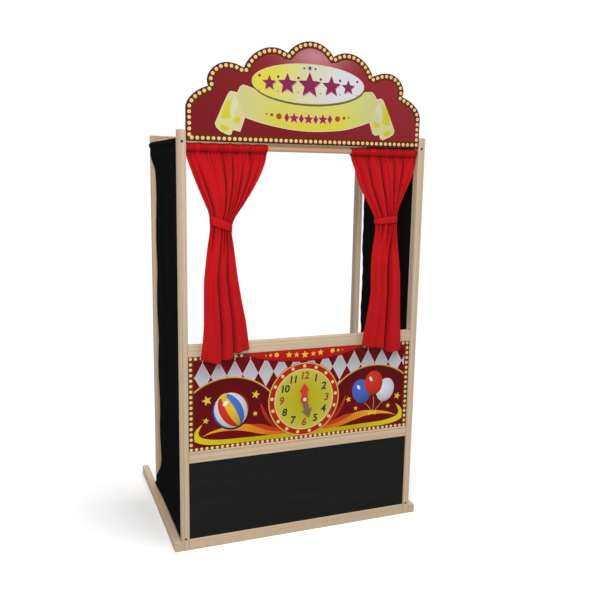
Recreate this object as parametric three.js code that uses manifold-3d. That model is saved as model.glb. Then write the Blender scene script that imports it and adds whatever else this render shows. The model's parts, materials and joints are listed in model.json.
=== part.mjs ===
// A floor-standing puppet theater for children. Its front frame carries a sign, a stage opening with
// two tied-back curtains on a rod, a printed clock panel with two turning hands, and a chalkboard.
// Two rear posts, cloth sides on dowels and a foot along each side make it stand by itself.
// Millimetres, +Z up. +X is to the right of someone who watches the stage, and +Y goes from the
// stage front back to the puppeteer. The origin is the centre of the box's base.

import * as THREE from 'three';
import { mergeVertices } from 'three/addons/utils/BufferGeometryUtils.js';
import Module from 'manifold-3d';

const wasm = await Module();
wasm.setup();

// Timber frame
const FRONT_WIDTH = 672;
const POST_WIDTH = 20;
const POST_DEPTH = 24;
const POST_HEIGHT = 1080;
const RAIL_HEIGHT = 30;
const RAIL_DEPTH = 20;
const EDGE_RADIUS = 1.6;
const REAR_POST_SETBACK = 373;
const CHALKBOARD_OPENING = 210.5;
const CLOCK_OPENING = 251.5;
const FOOT_WIDTH = 19;
const FOOT_HEIGHT = 25;
const FOOT_LENGTH = 536;

// Boards
const PANEL_THICKNESS = 5;
const PANEL_RECESS = 3;
const PANEL_TONGUE = 6;
const SIGN_HEIGHT = 249.5;
const SIGN_THICKNESS = 9;
const SIGN_LAP = 26;

// Rods and the cloth on them
const ROD_RADIUS = 7;
const ROD_SOCKET = 6;
const DOWEL_RADIUS = 7.5;
const TOP_DOWEL_DROP = 28;
const BASE_DOWEL_RISE = 32.3;
const CASING_WALL = 2.4;
const CASING_HEADROOM = 3.3;
const CLOTH_THICKNESS = 3;
const CLOTH_GAP = 0.5;

// Curtains: widths are measured from the post's inner face towards the middle of the stage
const CASING_START = 2;
const CASING_WIDTH = 201;
const CURTAIN_DROP = 541;
const HEM_LIFT = 28;
const FOLD_DEPTH = 8;
const CURTAIN_FOLDS = 4;
const GATHER_RIPPLE = 0.8;
const TIE_BAND_HEIGHT = 23;
const TIE_BAND_THICKNESS = 2.4;
const TIE_BAND_TILT = 10;

// Cloth sides
const DRAPE_FOLDS = 3;
const DRAPE_FOLD_DEPTH = 4;
const DRAPE_PULL = 28;

// Clock
const CLOCK_RISE = 111.5;
const HAND_THICKNESS = 2;
const HAND_GAP = 0.4;
const HOUR_HAND_LENGTH = 45;
const HOUR_HAND_HALF = 8;
const HOUR_HEAD_HALF = 14;
const MINUTE_HAND_LENGTH = 54;
const MINUTE_HAND_HALF = 7.5;
const MINUTE_HEAD_HALF = 15;
const HAND_TAIL_RADIUS = 10;
const BORE_CLEARANCE = 0.2;
const MINUTE_HAND_ANGLE = THREE.MathUtils.degToRad(165);
const PIN_RADIUS = 2.5;
const PIN_HEAD_RADIUS = 5;
const PIN_HEAD_HEIGHT = 2.5;
const PIN_CAP_RADIUS = 6;
const PIN_CAP_HEIGHT = 3.5;
const PIN_END = 1;

// Fasteners
const SCREW_HEAD_RADIUS = 3.2;
const SCREW_SHANK_RADIUS = 1.8;
const SCREW_CONE = 2.2;
const SCREW_POINT = 4;
const SCREW_SUNK = 0.5;
const FRAME_SCREW_LENGTH = 45;
const SIGN_SCREW_LENGTH = 20;
const PEG_RADIUS = 3;
const PEG_DEPTH = 8.5;

// Clearances
const GLUE_LINE = 0.1;
const FIT = 0.3;
const OVERRUN = 2;

// Facets
const ROUND_SIDES = 24;
const PEG_SIDES = 12;
const EDGE_STEPS = 2;
const OUTLINE_STEPS = 6;
const CLOTH_COLUMNS_PER_FOLD = 5;
const CASING_ROWS = 6;
const CURTAIN_ROWS = 13;
const DRAPE_ROWS = 9;

// Levels and lines worked out from the sizes above
const outerX = FRONT_WIDTH / 2;
const innerX = outerX - POST_WIDTH;
const postX = outerX - POST_WIDTH / 2;
const midRailZ = RAIL_HEIGHT + CHALKBOARD_OPENING;
const clockPanelZ = midRailZ + RAIL_HEIGHT;
const ledgeZ = clockPanelZ + CLOCK_OPENING;
const signZ = POST_HEIGHT - SIGN_LAP;
const casingRadius = ROD_RADIUS + FIT + CASING_WALL;
const drapeCasingRadius = DOWEL_RADIUS + FIT + CASING_WALL;
const rodY = POST_DEPTH / 2;
const rodZ = signZ - CASING_HEADROOM - casingRadius;
const topDowelZ = POST_HEIGHT - TOP_DOWEL_DROP;
const rearY = REAR_POST_SETBACK;
const rearBackY = rearY + POST_DEPTH;
const clockZ = clockPanelZ + CLOCK_RISE;
const crossRailZ = POST_HEIGHT - RAIL_HEIGHT;
const headerDepth = POST_DEPTH - SIGN_THICKNESS - GLUE_LINE;

// Colours
const finish = (color, roughness, metalness = 0) =>
  () => new THREE.MeshStandardMaterial({ color, roughness, metalness });
const pine = finish(0xd8bf9c, 0.6);
const dowelWood = finish(0xcda27a, 0.55);
const signPrint = finish(0x7d1a24, 0.35);
const panelPrint = finish(0x70141c, 0.35);
const chalkPaint = finish(0x1f2022, 0.8);
const redCloth = finish(0xbe141a, 0.85);
const blackCloth = finish(0x141416, 0.95);
const redPlastic = finish(0xc41818, 0.4);
const brownPlastic = finish(0x7a5f4c, 0.45);
const whitePlastic = finish(0xf1e6dd, 0.35);
const darkSteel = finish(0x38332e, 0.45, 0.8);

// Merges shared corners, drops collapsed triangles and turns the faces outwards.
function weld(source) {
  const bare = source.index ? source.toNonIndexed() : source.clone();
  bare.deleteAttribute('normal');
  bare.deleteAttribute('uv');
  const merged = mergeVertices(bare);
  const { array } = merged.index;
  const corners = [0, 1, 2].map(() => new THREE.Vector3());
  const kept = [];
  let volume = 0;
  for (let i = 0; i < array.length; i += 3) {
    const triangle = [array[i], array[i + 1], array[i + 2]];
    if (new Set(triangle).size < 3) continue;
    corners.forEach((corner, k) => corner.fromBufferAttribute(merged.attributes.position, triangle[k]));
    volume += corners[0].dot(corners[1].cross(corners[2]));
    kept.push(triangle);
  }
  merged.setIndex(kept.flatMap(([a, b, c]) => (volume > 0 ? [a, b, c] : [a, c, b])));
  return merged;
}

function toSolid(geometry) {
  const closed = weld(geometry);
  return new wasm.Manifold(new wasm.Mesh({
    numProp: 3,
    vertProperties: new Float32Array(closed.attributes.position.array),
    triVerts: new Uint32Array(closed.index.array),
  }));
}

function toGeometry(solid) {
  const found = solid.getMesh();
  const geometry = new THREE.BufferGeometry();
  geometry.setAttribute('position', new THREE.BufferAttribute(new Float32Array(found.vertProperties), 3));
  geometry.setIndex(new THREE.BufferAttribute(new Uint32Array(found.triVerts), 1));
  return geometry;
}

// Cuts the tools, which lie in the frame's coordinates, out of a piece whose own origin is at a place.
function carve(geometry, at, tools) {
  let solid = toSolid(geometry.clone().translate(...at));
  for (const tool of tools) solid = solid.subtract(toSolid(tool));
  return toGeometry(solid).translate(...at.map((value) => -value));
}

function piece(name, geometry, material, at = [0, 0, 0]) {
  const mesh = new THREE.Mesh(weld(geometry), material());
  mesh.name = name;
  mesh.position.set(...at);
  return mesh;
}

// Turns a section drawn in X and Y so that its length runs along an axis.
const alongAxis = {
  x: new THREE.Matrix4().makeBasis(
    new THREE.Vector3(0, 1, 0), new THREE.Vector3(0, 0, 1), new THREE.Vector3(1, 0, 0)),
  y: new THREE.Matrix4().makeBasis(
    new THREE.Vector3(0, 0, 1), new THREE.Vector3(1, 0, 0), new THREE.Vector3(0, 1, 0)),
  z: new THREE.Matrix4(),
};

// A planed batten with eased edges, from the origin along an axis. The section's two sides lie along
// the two axes that follow it, in the order x, y, z, x.
function batten(axis, first, second, length) {
  const r = Math.min(EDGE_RADIUS, first / 2, second / 2);
  const [p, q] = [first / 2, second / 2];
  const section = new THREE.Shape();
  section.absarc(p - r, q - r, r, 0, Math.PI / 2);
  section.absarc(-p + r, q - r, r, Math.PI / 2, Math.PI);
  section.absarc(-p + r, -q + r, r, Math.PI, Math.PI * 1.5);
  section.absarc(p - r, -q + r, r, Math.PI * 1.5, Math.PI * 2);
  const options = { depth: length, bevelEnabled: false, curveSegments: EDGE_STEPS };
  return new THREE.ExtrudeGeometry(section, options).applyMatrix4(alongAxis[axis]);
}

// A round bar centred on the origin, along one axis.
function roundBar(axis, radius, length, sides = ROUND_SIDES) {
  const bar = new THREE.CylinderGeometry(radius, radius, length, sides);
  if (axis === 'x') bar.rotateZ(-Math.PI / 2);
  if (axis === 'z') bar.rotateX(Math.PI / 2);
  return bar;
}

// A flat plate whose outline is drawn in X and Z. Its back face is at y = 0 and it comes forward.
function plate(shape, thickness) {
  const options = { depth: thickness, bevelEnabled: false, curveSegments: OUTLINE_STEPS };
  return new THREE.ExtrudeGeometry(shape, options).rotateX(Math.PI / 2);
}

function lathe(profile, sides) {
  return new THREE.LatheGeometry(profile.map(([radius, y]) => new THREE.Vector2(radius, y)), sides);
}

// A countersunk screw from its head at the origin towards +Y. The hole for it has room all round
// and runs out past the head.
function screw(length) {
  return lathe([
    [0, 0], [SCREW_HEAD_RADIUS, 0], [SCREW_SHANK_RADIUS, SCREW_CONE],
    [SCREW_SHANK_RADIUS, length - SCREW_POINT], [0, length],
  ], PEG_SIDES);
}

function screwHole(length) {
  const head = SCREW_HEAD_RADIUS + FIT;
  const shank = SCREW_SHANK_RADIUS + FIT;
  return lathe([
    [0, -OVERRUN], [head, -OVERRUN], [head, FIT], [shank, SCREW_CONE + FIT],
    [shank, length - SCREW_POINT + FIT], [0, length + FIT],
  ], PEG_SIDES);
}

const turnedBack = (geometry, y) => geometry.rotateX(Math.PI).translate(0, y, 0);

// A closed sheet from two grids of points, one for each face. place(u, v, side) gives a point of the
// face on that side, with u across and v down the cloth.
function sheet(columns, rows, place) {
  const positions = [];
  for (const side of [1, -1]) {
    for (const v of rows) {
      for (let i = 0; i <= columns; i += 1) positions.push(...place(i / columns, v, side));
    }
  }
  const stride = columns + 1;
  const face = stride * rows.length;
  const at = (i, j, side) => (side > 0 ? 0 : face) + j * stride + i;
  const index = [];
  const quad = (a, b, c, d) => index.push(a, b, c, a, c, d);
  const last = rows.length - 1;
  for (let j = 0; j < last; j += 1) {
    for (let i = 0; i < columns; i += 1) {
      quad(at(i, j, 1), at(i, j + 1, 1), at(i + 1, j + 1, 1), at(i + 1, j, 1));
      quad(at(i, j, -1), at(i + 1, j, -1), at(i + 1, j + 1, -1), at(i, j + 1, -1));
    }
    quad(at(0, j, 1), at(0, j, -1), at(0, j + 1, -1), at(0, j + 1, 1));
    quad(at(columns, j, 1), at(columns, j + 1, 1), at(columns, j + 1, -1), at(columns, j, -1));
  }
  for (let i = 0; i < columns; i += 1) {
    quad(at(i, 0, 1), at(i + 1, 0, 1), at(i + 1, 0, -1), at(i, 0, -1));
    quad(at(i, last, 1), at(i, last, -1), at(i + 1, last, -1), at(i + 1, last, 1));
  }
  const geometry = new THREE.BufferGeometry();
  geometry.setAttribute('position', new THREE.Float32BufferAttribute(positions, 3));
  geometry.setIndex(index);
  return geometry;
}

// Rows round a casing: heights above its rod's centre, and half the thickness there.
function casingRows(radius) {
  const start = Math.asin(CLOTH_THICKNESS / 2 / radius);
  return Array.from({ length: CASING_ROWS + 1 }, (_, k) => {
    const angle = start + (Math.PI - 2 * start) * (k / CASING_ROWS);
    return { rise: radius * Math.cos(angle), half: radius * Math.sin(angle) };
  });
}

// Screws, pegs, grooves and sockets, each as the tool that makes room for it
const sides = [['left', -1], ['right', 1]];
const dowelLevels = [['top', topDowelZ], ['base', BASE_DOWEL_RISE]];
const railLines = [
  ['base', RAIL_HEIGHT / 2, RAIL_DEPTH / 2],
  ['mid', midRailZ + RAIL_HEIGHT / 2, RAIL_DEPTH / 2],
  ['ledge', ledgeZ + RAIL_HEIGHT / 2, RAIL_DEPTH / 2],
  ['header', signZ + SIGN_LAP / 2, POST_DEPTH - headerDepth / 2],
  ['cross', crossRailZ + RAIL_HEIGHT / 2, rearY + RAIL_DEPTH / 2],
];
const footPegLines = [['front', POST_DEPTH / 2], ['rear', rearY + POST_DEPTH / 2]];
const signScrewXShares = [-0.8, -0.3, 0.3, 0.8];

const pegHole = (x, y, z) =>
  roundBar('x', PEG_RADIUS + FIT, 2 * PEG_DEPTH + 2 * FIT, PEG_SIDES).translate(x, y, z);

const pegHoles = sides.flatMap(([, s]) => [
  ...railLines.map(([, z, y]) => pegHole(s * innerX, y, z)),
  ...footPegLines.map(([, y]) => pegHole(s * outerX, y, FOOT_HEIGHT / 2)),
]);

const frameScrewHoles = sides.flatMap(([, s]) => dowelLevels.flatMap(([, z]) => [
  screwHole(FRAME_SCREW_LENGTH).translate(s * postX, SCREW_SUNK, z),
  turnedBack(screwHole(FRAME_SCREW_LENGTH), rearBackY - SCREW_SUNK).translate(s * postX, 0, z),
]));

const signScrewHoles = signScrewXShares.map((share) =>
  turnedBack(screwHole(SIGN_SCREW_LENGTH), POST_DEPTH - SCREW_SUNK)
    .translate(share * innerX, 0, signZ + SIGN_LAP / 2));

function panelBox(bottom, height, clearance) {
  const width = 2 * (innerX + PANEL_TONGUE + clearance);
  const tall = height + 2 * (PANEL_TONGUE + clearance);
  return new THREE.BoxGeometry(width, PANEL_THICKNESS + 2 * clearance, tall)
    .translate(0, PANEL_RECESS + PANEL_THICKNESS / 2, bottom + height / 2);
}

const grooves = [
  panelBox(RAIL_HEIGHT, CHALKBOARD_OPENING, FIT),
  panelBox(clockPanelZ, CLOCK_OPENING, FIT),
];
const rodSocket = roundBar('x', ROD_RADIUS + FIT, 2 * (innerX + ROD_SOCKET + FIT)).translate(0, rodY, rodZ);
const clockHole = roundBar('y', PIN_RADIUS + FIT, PANEL_THICKNESS + 2 * OVERRUN)
  .translate(0, PANEL_RECESS + PANEL_THICKNESS / 2, clockZ);
const timberCuts = [...pegHoles, ...frameScrewHoles, ...signScrewHoles, ...grooves, rodSocket];

// Front frame
function frontFrame() {
  const group = new THREE.Group();
  for (const [side, s] of sides) {
    const at = [s * postX, POST_DEPTH / 2, 0];
    const post = batten('z', POST_WIDTH, POST_DEPTH, POST_HEIGHT);
    group.add(piece(`front_post_${side}`, carve(post, at, timberCuts), pine, at));
  }
  const railLength = 2 * (innerX - GLUE_LINE);
  const rail = (name, z, y, height, depth) => {
    const at = [-railLength / 2, y, z];
    group.add(piece(name, carve(batten('x', depth, height, railLength), at, timberCuts), pine, at));
  };
  rail('bottom_rail', RAIL_HEIGHT / 2, RAIL_DEPTH / 2, RAIL_HEIGHT, RAIL_DEPTH);
  rail('middle_rail', midRailZ + RAIL_HEIGHT / 2, RAIL_DEPTH / 2, RAIL_HEIGHT, RAIL_DEPTH);
  rail('ledge_rail', ledgeZ + RAIL_HEIGHT / 2, RAIL_DEPTH / 2, RAIL_HEIGHT, RAIL_DEPTH);
  rail('header_rail', signZ + SIGN_LAP / 2, POST_DEPTH - headerDepth / 2, SIGN_LAP, headerDepth);
  group.add(piece('curtain_rod', roundBar('x', ROD_RADIUS, 2 * (innerX + ROD_SOCKET)), dowelWood,
    [0, rodY, rodZ]));
  return group;
}

// Rear frame: two posts and the rail across their tops
function rearFrame() {
  const group = new THREE.Group();
  for (const [side, s] of sides) {
    const at = [s * postX, rearY + POST_DEPTH / 2, 0];
    const post = batten('z', POST_WIDTH, POST_DEPTH, POST_HEIGHT);
    group.add(piece(`rear_post_${side}`, carve(post, at, timberCuts), pine, at));
  }
  const railLength = 2 * (innerX - GLUE_LINE);
  const at = [-railLength / 2, rearY + RAIL_DEPTH / 2, crossRailZ + RAIL_HEIGHT / 2];
  const rail = batten('x', RAIL_DEPTH, RAIL_HEIGHT, railLength);
  group.add(piece('rear_cross_rail', carve(rail, at, timberCuts), pine, at));
  return group;
}

// The sign's outline: half of it from the shoulder up to the crown, as shares of the half width and
// of the height. Each row is a curve's two handles and its end.
const signShoulderShare = 0.305;
const signLobeShares = [
  [1, 0.393, 0.924, 0.481, 0.823, 0.521],
  [0.864, 0.605, 0.785, 0.7475, 0.677, 0.7475],
  [0.627, 0.7475, 0.589, 0.7295, 0.544, 0.7014],
  [0.519, 0.8096, 0.424, 0.9158, 0.313, 0.9158],
  [0.266, 0.9158, 0.228, 0.8978, 0.193, 0.8677],
  [0.152, 0.9459, 0.082, 1, 0, 1],
];

function signShape() {
  const half = innerX - FIT;
  const shape = new THREE.Shape();
  shape.moveTo(-half, 0);
  shape.lineTo(half, 0);
  shape.lineTo(half, signShoulderShare * SIGN_HEIGHT);
  for (const shares of signLobeShares) {
    shape.bezierCurveTo(...shares.map((share, k) => share * (k % 2 ? SIGN_HEIGHT : half)));
  }
  const starts = [[1, signShoulderShare], ...signLobeShares.map((shares) => shares.slice(-2))];
  for (let k = signLobeShares.length - 1; k >= 0; k -= 1) {
    const [ax, az, bx, bz] = signLobeShares[k];
    const mirrored = [bx, bz, ax, az, ...starts[k]];
    shape.bezierCurveTo(...mirrored.map((share, i) => share * (i % 2 ? SIGN_HEIGHT : -half)));
  }
  return shape;
}

function boards() {
  const group = new THREE.Group();
  const signAt = [0, SIGN_THICKNESS, signZ];
  group.add(piece('sign_board', carve(plate(signShape(), SIGN_THICKNESS), signAt, signScrewHoles),
    signPrint, signAt));
  group.add(piece('clock_panel', carve(panelBox(clockPanelZ, CLOCK_OPENING, 0), [0, 0, 0], [clockHole]),
    panelPrint));
  group.add(piece('chalkboard', panelBox(RAIL_HEIGHT, CHALKBOARD_OPENING, 0), chalkPaint));
  return group;
}

// The clock's hands turn on a headed pin, which a push-on cap holds behind the panel. An arrowhead's
// length is a share of its half width, and the pin's dome is given as shares of its radius and height.
const arrowheadShare = 1.4;
const pinDomeShares = [[0, 1], [0.71, 0.8], [1, 0.33]];
const handBore = (PIN_RADIUS + BORE_CLEARANCE) / Math.cos(Math.PI / PEG_SIDES);

function handShape(length, half, headHalf) {
  const headBase = length - arrowheadShare * headHalf;
  const lift = Math.asin(half / HAND_TAIL_RADIUS);
  const shape = new THREE.Shape();
  shape.absarc(0, 0, HAND_TAIL_RADIUS, Math.PI / 2 + lift, Math.PI * 2.5 - lift);
  shape.lineTo(half, headBase);
  shape.lineTo(headHalf, headBase - (headHalf - half) / 2);
  shape.quadraticCurveTo(headHalf / 2, (headBase + length) / 2, 0, length);
  shape.quadraticCurveTo(-headHalf / 2, (headBase + length) / 2, -headHalf, headBase - (headHalf - half) / 2);
  shape.lineTo(-half, headBase);
  const bore = new THREE.Path();
  bore.absarc(0, 0, handBore, 0, Math.PI * 2);
  shape.holes.push(bore);
  return shape;
}

function clock() {
  const group = new THREE.Group();
  group.position.set(0, PANEL_RECESS, clockZ);
  const minute = plate(handShape(MINUTE_HAND_LENGTH, MINUTE_HAND_HALF, MINUTE_HEAD_HALF), HAND_THICKNESS);
  const minuteHand = piece('minute_hand', minute.rotateY(MINUTE_HAND_ANGLE), brownPlastic, [0, -HAND_GAP, 0]);
  const hour = plate(handShape(HOUR_HAND_LENGTH, HOUR_HAND_HALF, HOUR_HEAD_HALF), HAND_THICKNESS);
  const hourY = -2 * HAND_GAP - HAND_THICKNESS;
  const hourHand = piece('hour_hand', hour, redPlastic, [0, hourY, 0]);
  const headY = hourY - HAND_THICKNESS - HAND_GAP;
  const capY = PANEL_THICKNESS + FIT;
  const pinEnd = capY + PIN_CAP_HEIGHT + PIN_END;
  const dome = pinDomeShares.map(([across, up]) => [PIN_HEAD_RADIUS * across, headY - PIN_HEAD_HEIGHT * up]);
  const pin = lathe([
    ...dome, [PIN_HEAD_RADIUS, headY], [PIN_RADIUS, headY], [PIN_RADIUS, pinEnd], [0, pinEnd],
  ], PEG_SIDES);
  const cap = lathe([
    [PIN_RADIUS + FIT, capY], [PIN_CAP_RADIUS, capY], [PIN_CAP_RADIUS, capY + PIN_CAP_HEIGHT],
    [PIN_RADIUS + FIT, capY + PIN_CAP_HEIGHT], [PIN_RADIUS + FIT, capY],
  ], PEG_SIDES);
  group.add(minuteHand, hourHand, piece('clock_pin', pin, whitePlastic), piece('clock_pin_cap', cap, whitePlastic));
  return group;
}

// A tied-back curtain. Each row of the table is a level: the share of the drop from the rod, the
// curtain's outer and inner edges as shares of the casing's width, and the share of the fold depth.
const curtainLevelShares = [
  [0.022, 0.004, 0.985, 0.2],
  [0.07, 0.04, 0.95, 0.4],
  [0.118, 0.085, 0.9, 0.55],
  [0.233, 0.194, 0.74, 0.8],
  [0.296, 0.277, 0.58, 0.8],
  [0.336, 0.281, 0.572, 0.75],
  [0.376, 0.281, 0.575, 0.75],
  [0.44, 0.238, 0.625, 0.85],
  [0.501, 0.213, 0.65, 0.9],
  [0.63, 0.188, 0.665, 0.95],
  [0.848, 0.165, 0.716, 1],
  [1, 0.149, 0.76, 1],
];
const neckShare = 0.336;
const neckWidthShares = [0.277, 0.58];
const neckReachShare = 0.1;
const hemLiftPower = 2;

const clothHalf = CLOTH_THICKNESS / 2;
const tailY = -(FOLD_DEPTH + clothHalf + CLOTH_GAP);
const neckDepth = FOLD_DEPTH + clothHalf;
const neckWidth = (neckWidthShares[1] - neckWidthShares[0]) * CASING_WIDTH;
const curtainY = (drop) => rodY + (tailY - rodY) * Math.min(1, drop / (rodZ - ledgeZ - RAIL_HEIGHT));

// How far the folds may stand out at a place across the neck, so that the bunch has rounded ends.
function bunchEnd(u) {
  const inset = Math.min(u, 1 - u) * neckWidth;
  return inset >= neckDepth ? 1 : Math.sqrt(1 - ((neckDepth - inset) / neckDepth) ** 2);
}

function curtain(s) {
  const spline = new THREE.CatmullRomCurve3(
    curtainLevelShares.map(([drop, outer, inner]) => new THREE.Vector3(outer, inner, drop)), false, 'centripetal');
  const depths = new THREE.SplineCurve(curtainLevelShares.map(([drop, , , fold]) => new THREE.Vector2(drop, fold)));
  const casing = casingRows(casingRadius).map(({ rise, half }) => ({ rise, half, outer: 0, inner: 1 }));
  const fall = Array.from({ length: CURTAIN_ROWS }, (_, k) => {
    const t = (k + 1) / CURTAIN_ROWS;
    const { x: outer, y: inner, z: drop } = spline.getPoint(t);
    return { rise: -drop * CURTAIN_DROP, half: clothHalf, outer, inner, fold: depths.getPoint(t).y, drop };
  });
  const across = CURTAIN_FOLDS * CLOTH_COLUMNS_PER_FOLD;
  const solid = sheet(across, [...casing, ...fall], (u, row, side) => {
    const wave = Math.cos(2 * Math.PI * CURTAIN_FOLDS * u + (s > 0 ? 0 : Math.PI));
    const x = innerX - CASING_START - CASING_WIDTH * (row.outer + (row.inner - row.outer) * u);
    if (row.fold === undefined) {
      const ripple = GATHER_RIPPLE * (1 + wave) / 2;
      return [s * x, rodY - side * (row.half + ripple * (row.half / casingRadius)), rodZ + row.rise];
    }
    const bunched = Math.exp(-(((row.drop - neckShare) / neckReachShare) ** 2));
    const depth = FOLD_DEPTH * row.fold * (1 + (bunchEnd(u) - 1) * bunched);
    const below = Math.max(0, (row.drop - neckShare) / (1 - neckShare));
    return [
      s * x,
      curtainY(-row.rise) + depth * wave - side * row.half,
      rodZ + row.rise + HEM_LIFT * u * below ** hemLiftPower,
    ];
  });
  const bore = roundBar('x', ROD_RADIUS + FIT, FRONT_WIDTH).translate(0, rodY, rodZ);
  return carve(solid, [0, 0, 0], [bore]);
}

// The band round the neck: a flat loop with rounded ends, lower on the side towards the stage.
function tieBand(s) {
  const loop = (grow, ShapeClass) => {
    const depth = neckDepth + grow;
    const reach = neckWidth / 2 + grow - depth;
    const path = new ShapeClass();
    path.absarc(reach, 0, depth, -Math.PI / 2, Math.PI / 2);
    path.absarc(-reach, 0, depth, Math.PI / 2, Math.PI * 1.5);
    return path;
  };
  const shape = loop(CLOTH_GAP + TIE_BAND_THICKNESS, THREE.Shape);
  shape.holes.push(loop(CLOTH_GAP, THREE.Path));
  const options = { depth: TIE_BAND_HEIGHT, bevelEnabled: false, curveSegments: OUTLINE_STEPS };
  const band = new THREE.ExtrudeGeometry(shape, options).translate(0, 0, -TIE_BAND_HEIGHT / 2);
  const position = band.attributes.position;
  for (let i = 0; i < position.count; i += 1) {
    const tilt = TIE_BAND_TILT * (s * position.getX(i)) / neckWidth;
    position.setZ(i, position.getZ(i) + tilt);
  }
  return band;
}

function curtains() {
  const group = new THREE.Group();
  const neckMiddle = (neckWidthShares[0] + neckWidthShares[1]) / 2;
  const neckDrop = neckShare * CURTAIN_DROP;
  for (const [side, s] of sides) {
    group.add(piece(`curtain_${side}`, curtain(s), redCloth));
    const x = s * (innerX - CASING_START - CASING_WIDTH * neckMiddle);
    group.add(piece(`tieback_${side}`, tieBand(s), redCloth, [x, curtainY(neckDrop), rodZ - neckDrop]));
  }
  return group;
}

// A cloth side hangs between its two dowels. Its free rear edge draws in between them, and a higher
// power brings it in closer to each dowel.
const drawInPower = 4;

function drape(s) {
  const rise = topDowelZ - BASE_DOWEL_RISE;
  const casing = casingRows(drapeCasingRadius);
  const upper = casing.map(({ rise: z, half }) => ({ z: topDowelZ + z, half, full: 0 }));
  const lower = casing.map(({ rise: z, half }) => ({ z: BASE_DOWEL_RISE + z, half, full: 0 }));
  const top = upper[upper.length - 1].z;
  const bottom = lower[0].z;
  const fall = Array.from({ length: DRAPE_ROWS }, (_, k) => {
    const share = (1 - Math.cos(Math.PI * (k + 1) / (DRAPE_ROWS + 1))) / 2;
    return { z: top + (bottom - top) * share, half: clothHalf, full: 1 - Math.abs(2 * share - 1) ** drawInPower };
  });
  const frontY = POST_DEPTH + CLOTH_GAP;
  const backY = rearY - CLOTH_GAP;
  const columns = DRAPE_FOLDS * CLOTH_COLUMNS_PER_FOLD;
  const solid = sheet(columns, [...upper, ...fall, ...lower], (u, row, side) => {
    const wave = Math.cos(2 * Math.PI * DRAPE_FOLDS * u);
    const rear = backY - DRAPE_PULL * row.full;
    return [
      s * (postX + DRAPE_FOLD_DEPTH * row.full * wave * u) + side * row.half,
      frontY + (rear - frontY) * u,
      row.z,
    ];
  });
  const bores = [topDowelZ, BASE_DOWEL_RISE].map((z) =>
    roundBar('y', DOWEL_RADIUS + FIT, 2 * rise).translate(s * postX, rearY, z));
  return carve(solid, [0, 0, 0], bores);
}

function clothSides() {
  const group = new THREE.Group();
  const length = rearY - POST_DEPTH - 2 * GLUE_LINE;
  for (const [side, s] of sides) {
    for (const [level, z] of dowelLevels) {
      const at = [s * postX, POST_DEPTH + GLUE_LINE + length / 2, z];
      const dowel = carve(roundBar('y', DOWEL_RADIUS, length), at, frameScrewHoles);
      group.add(piece(`side_dowel_${level}_${side}`, dowel, dowelWood, at));
    }
    group.add(piece(`side_drape_${side}`, drape(s), blackCloth));
    const footAt = [s * (outerX + GLUE_LINE + FOOT_WIDTH / 2), 0, FOOT_HEIGHT / 2];
    const foot = carve(batten('y', FOOT_HEIGHT, FOOT_WIDTH, FOOT_LENGTH), footAt, pegHoles);
    group.add(piece(`foot_${side}`, foot, pine, footAt));
  }
  return group;
}

function fasteners() {
  const group = new THREE.Group();
  const peg = () => roundBar('x', PEG_RADIUS, 2 * PEG_DEPTH, PEG_SIDES);
  for (const [side, s] of sides) {
    for (const [level, z] of dowelLevels) {
      group.add(piece(`front_screw_${level}_${side}`, screw(FRAME_SCREW_LENGTH), darkSteel,
        [s * postX, SCREW_SUNK, z]));
      const rear = piece(`rear_screw_${level}_${side}`, screw(FRAME_SCREW_LENGTH), darkSteel,
        [s * postX, rearBackY - SCREW_SUNK, z]);
      rear.rotation.x = Math.PI;
      group.add(rear);
    }
    for (const [rail, z, y] of railLines) {
      group.add(piece(`${rail}_rail_peg_${side}`, peg(), dowelWood, [s * innerX, y, z]));
    }
    for (const [end, y] of footPegLines) {
      group.add(piece(`foot_peg_${end}_${side}`, peg(), dowelWood, [s * outerX, y, FOOT_HEIGHT / 2]));
    }
  }
  signScrewXShares.forEach((share, k) => {
    const fixing = piece(`sign_screw_${k + 1}`, screw(SIGN_SCREW_LENGTH), darkSteel,
      [share * innerX, POST_DEPTH - SCREW_SUNK, signZ + SIGN_LAP / 2]);
    fixing.rotation.x = Math.PI;
    group.add(fixing);
  });
  return group;
}

const theater = new THREE.Group();
theater.add(frontFrame(), rearFrame(), boards(), clock(), curtains(), clothSides(), fasteners());
const reach = new THREE.Box3().setFromObject(theater);
theater.position.set(0, -(reach.min.y + reach.max.y) / 2, 0);

export default theater;
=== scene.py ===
"""Dresses a children's puppet theater stand: pine frame, printed boards, curtains and cloth sides.

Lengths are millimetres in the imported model's frame until a mesh is made: +X is to the watcher's
right, +Y goes from the stage front to the back, and +Z is up.
"""

from __future__ import annotations

import json
import logging
import math
from collections.abc import Callable, Iterable, Sequence
from dataclasses import dataclass
from enum import Enum

import bmesh
import bpy
import numpy as np
from mathutils import Matrix, Vector
from mathutils.geometry import delaunay_2d_cdt

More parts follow.
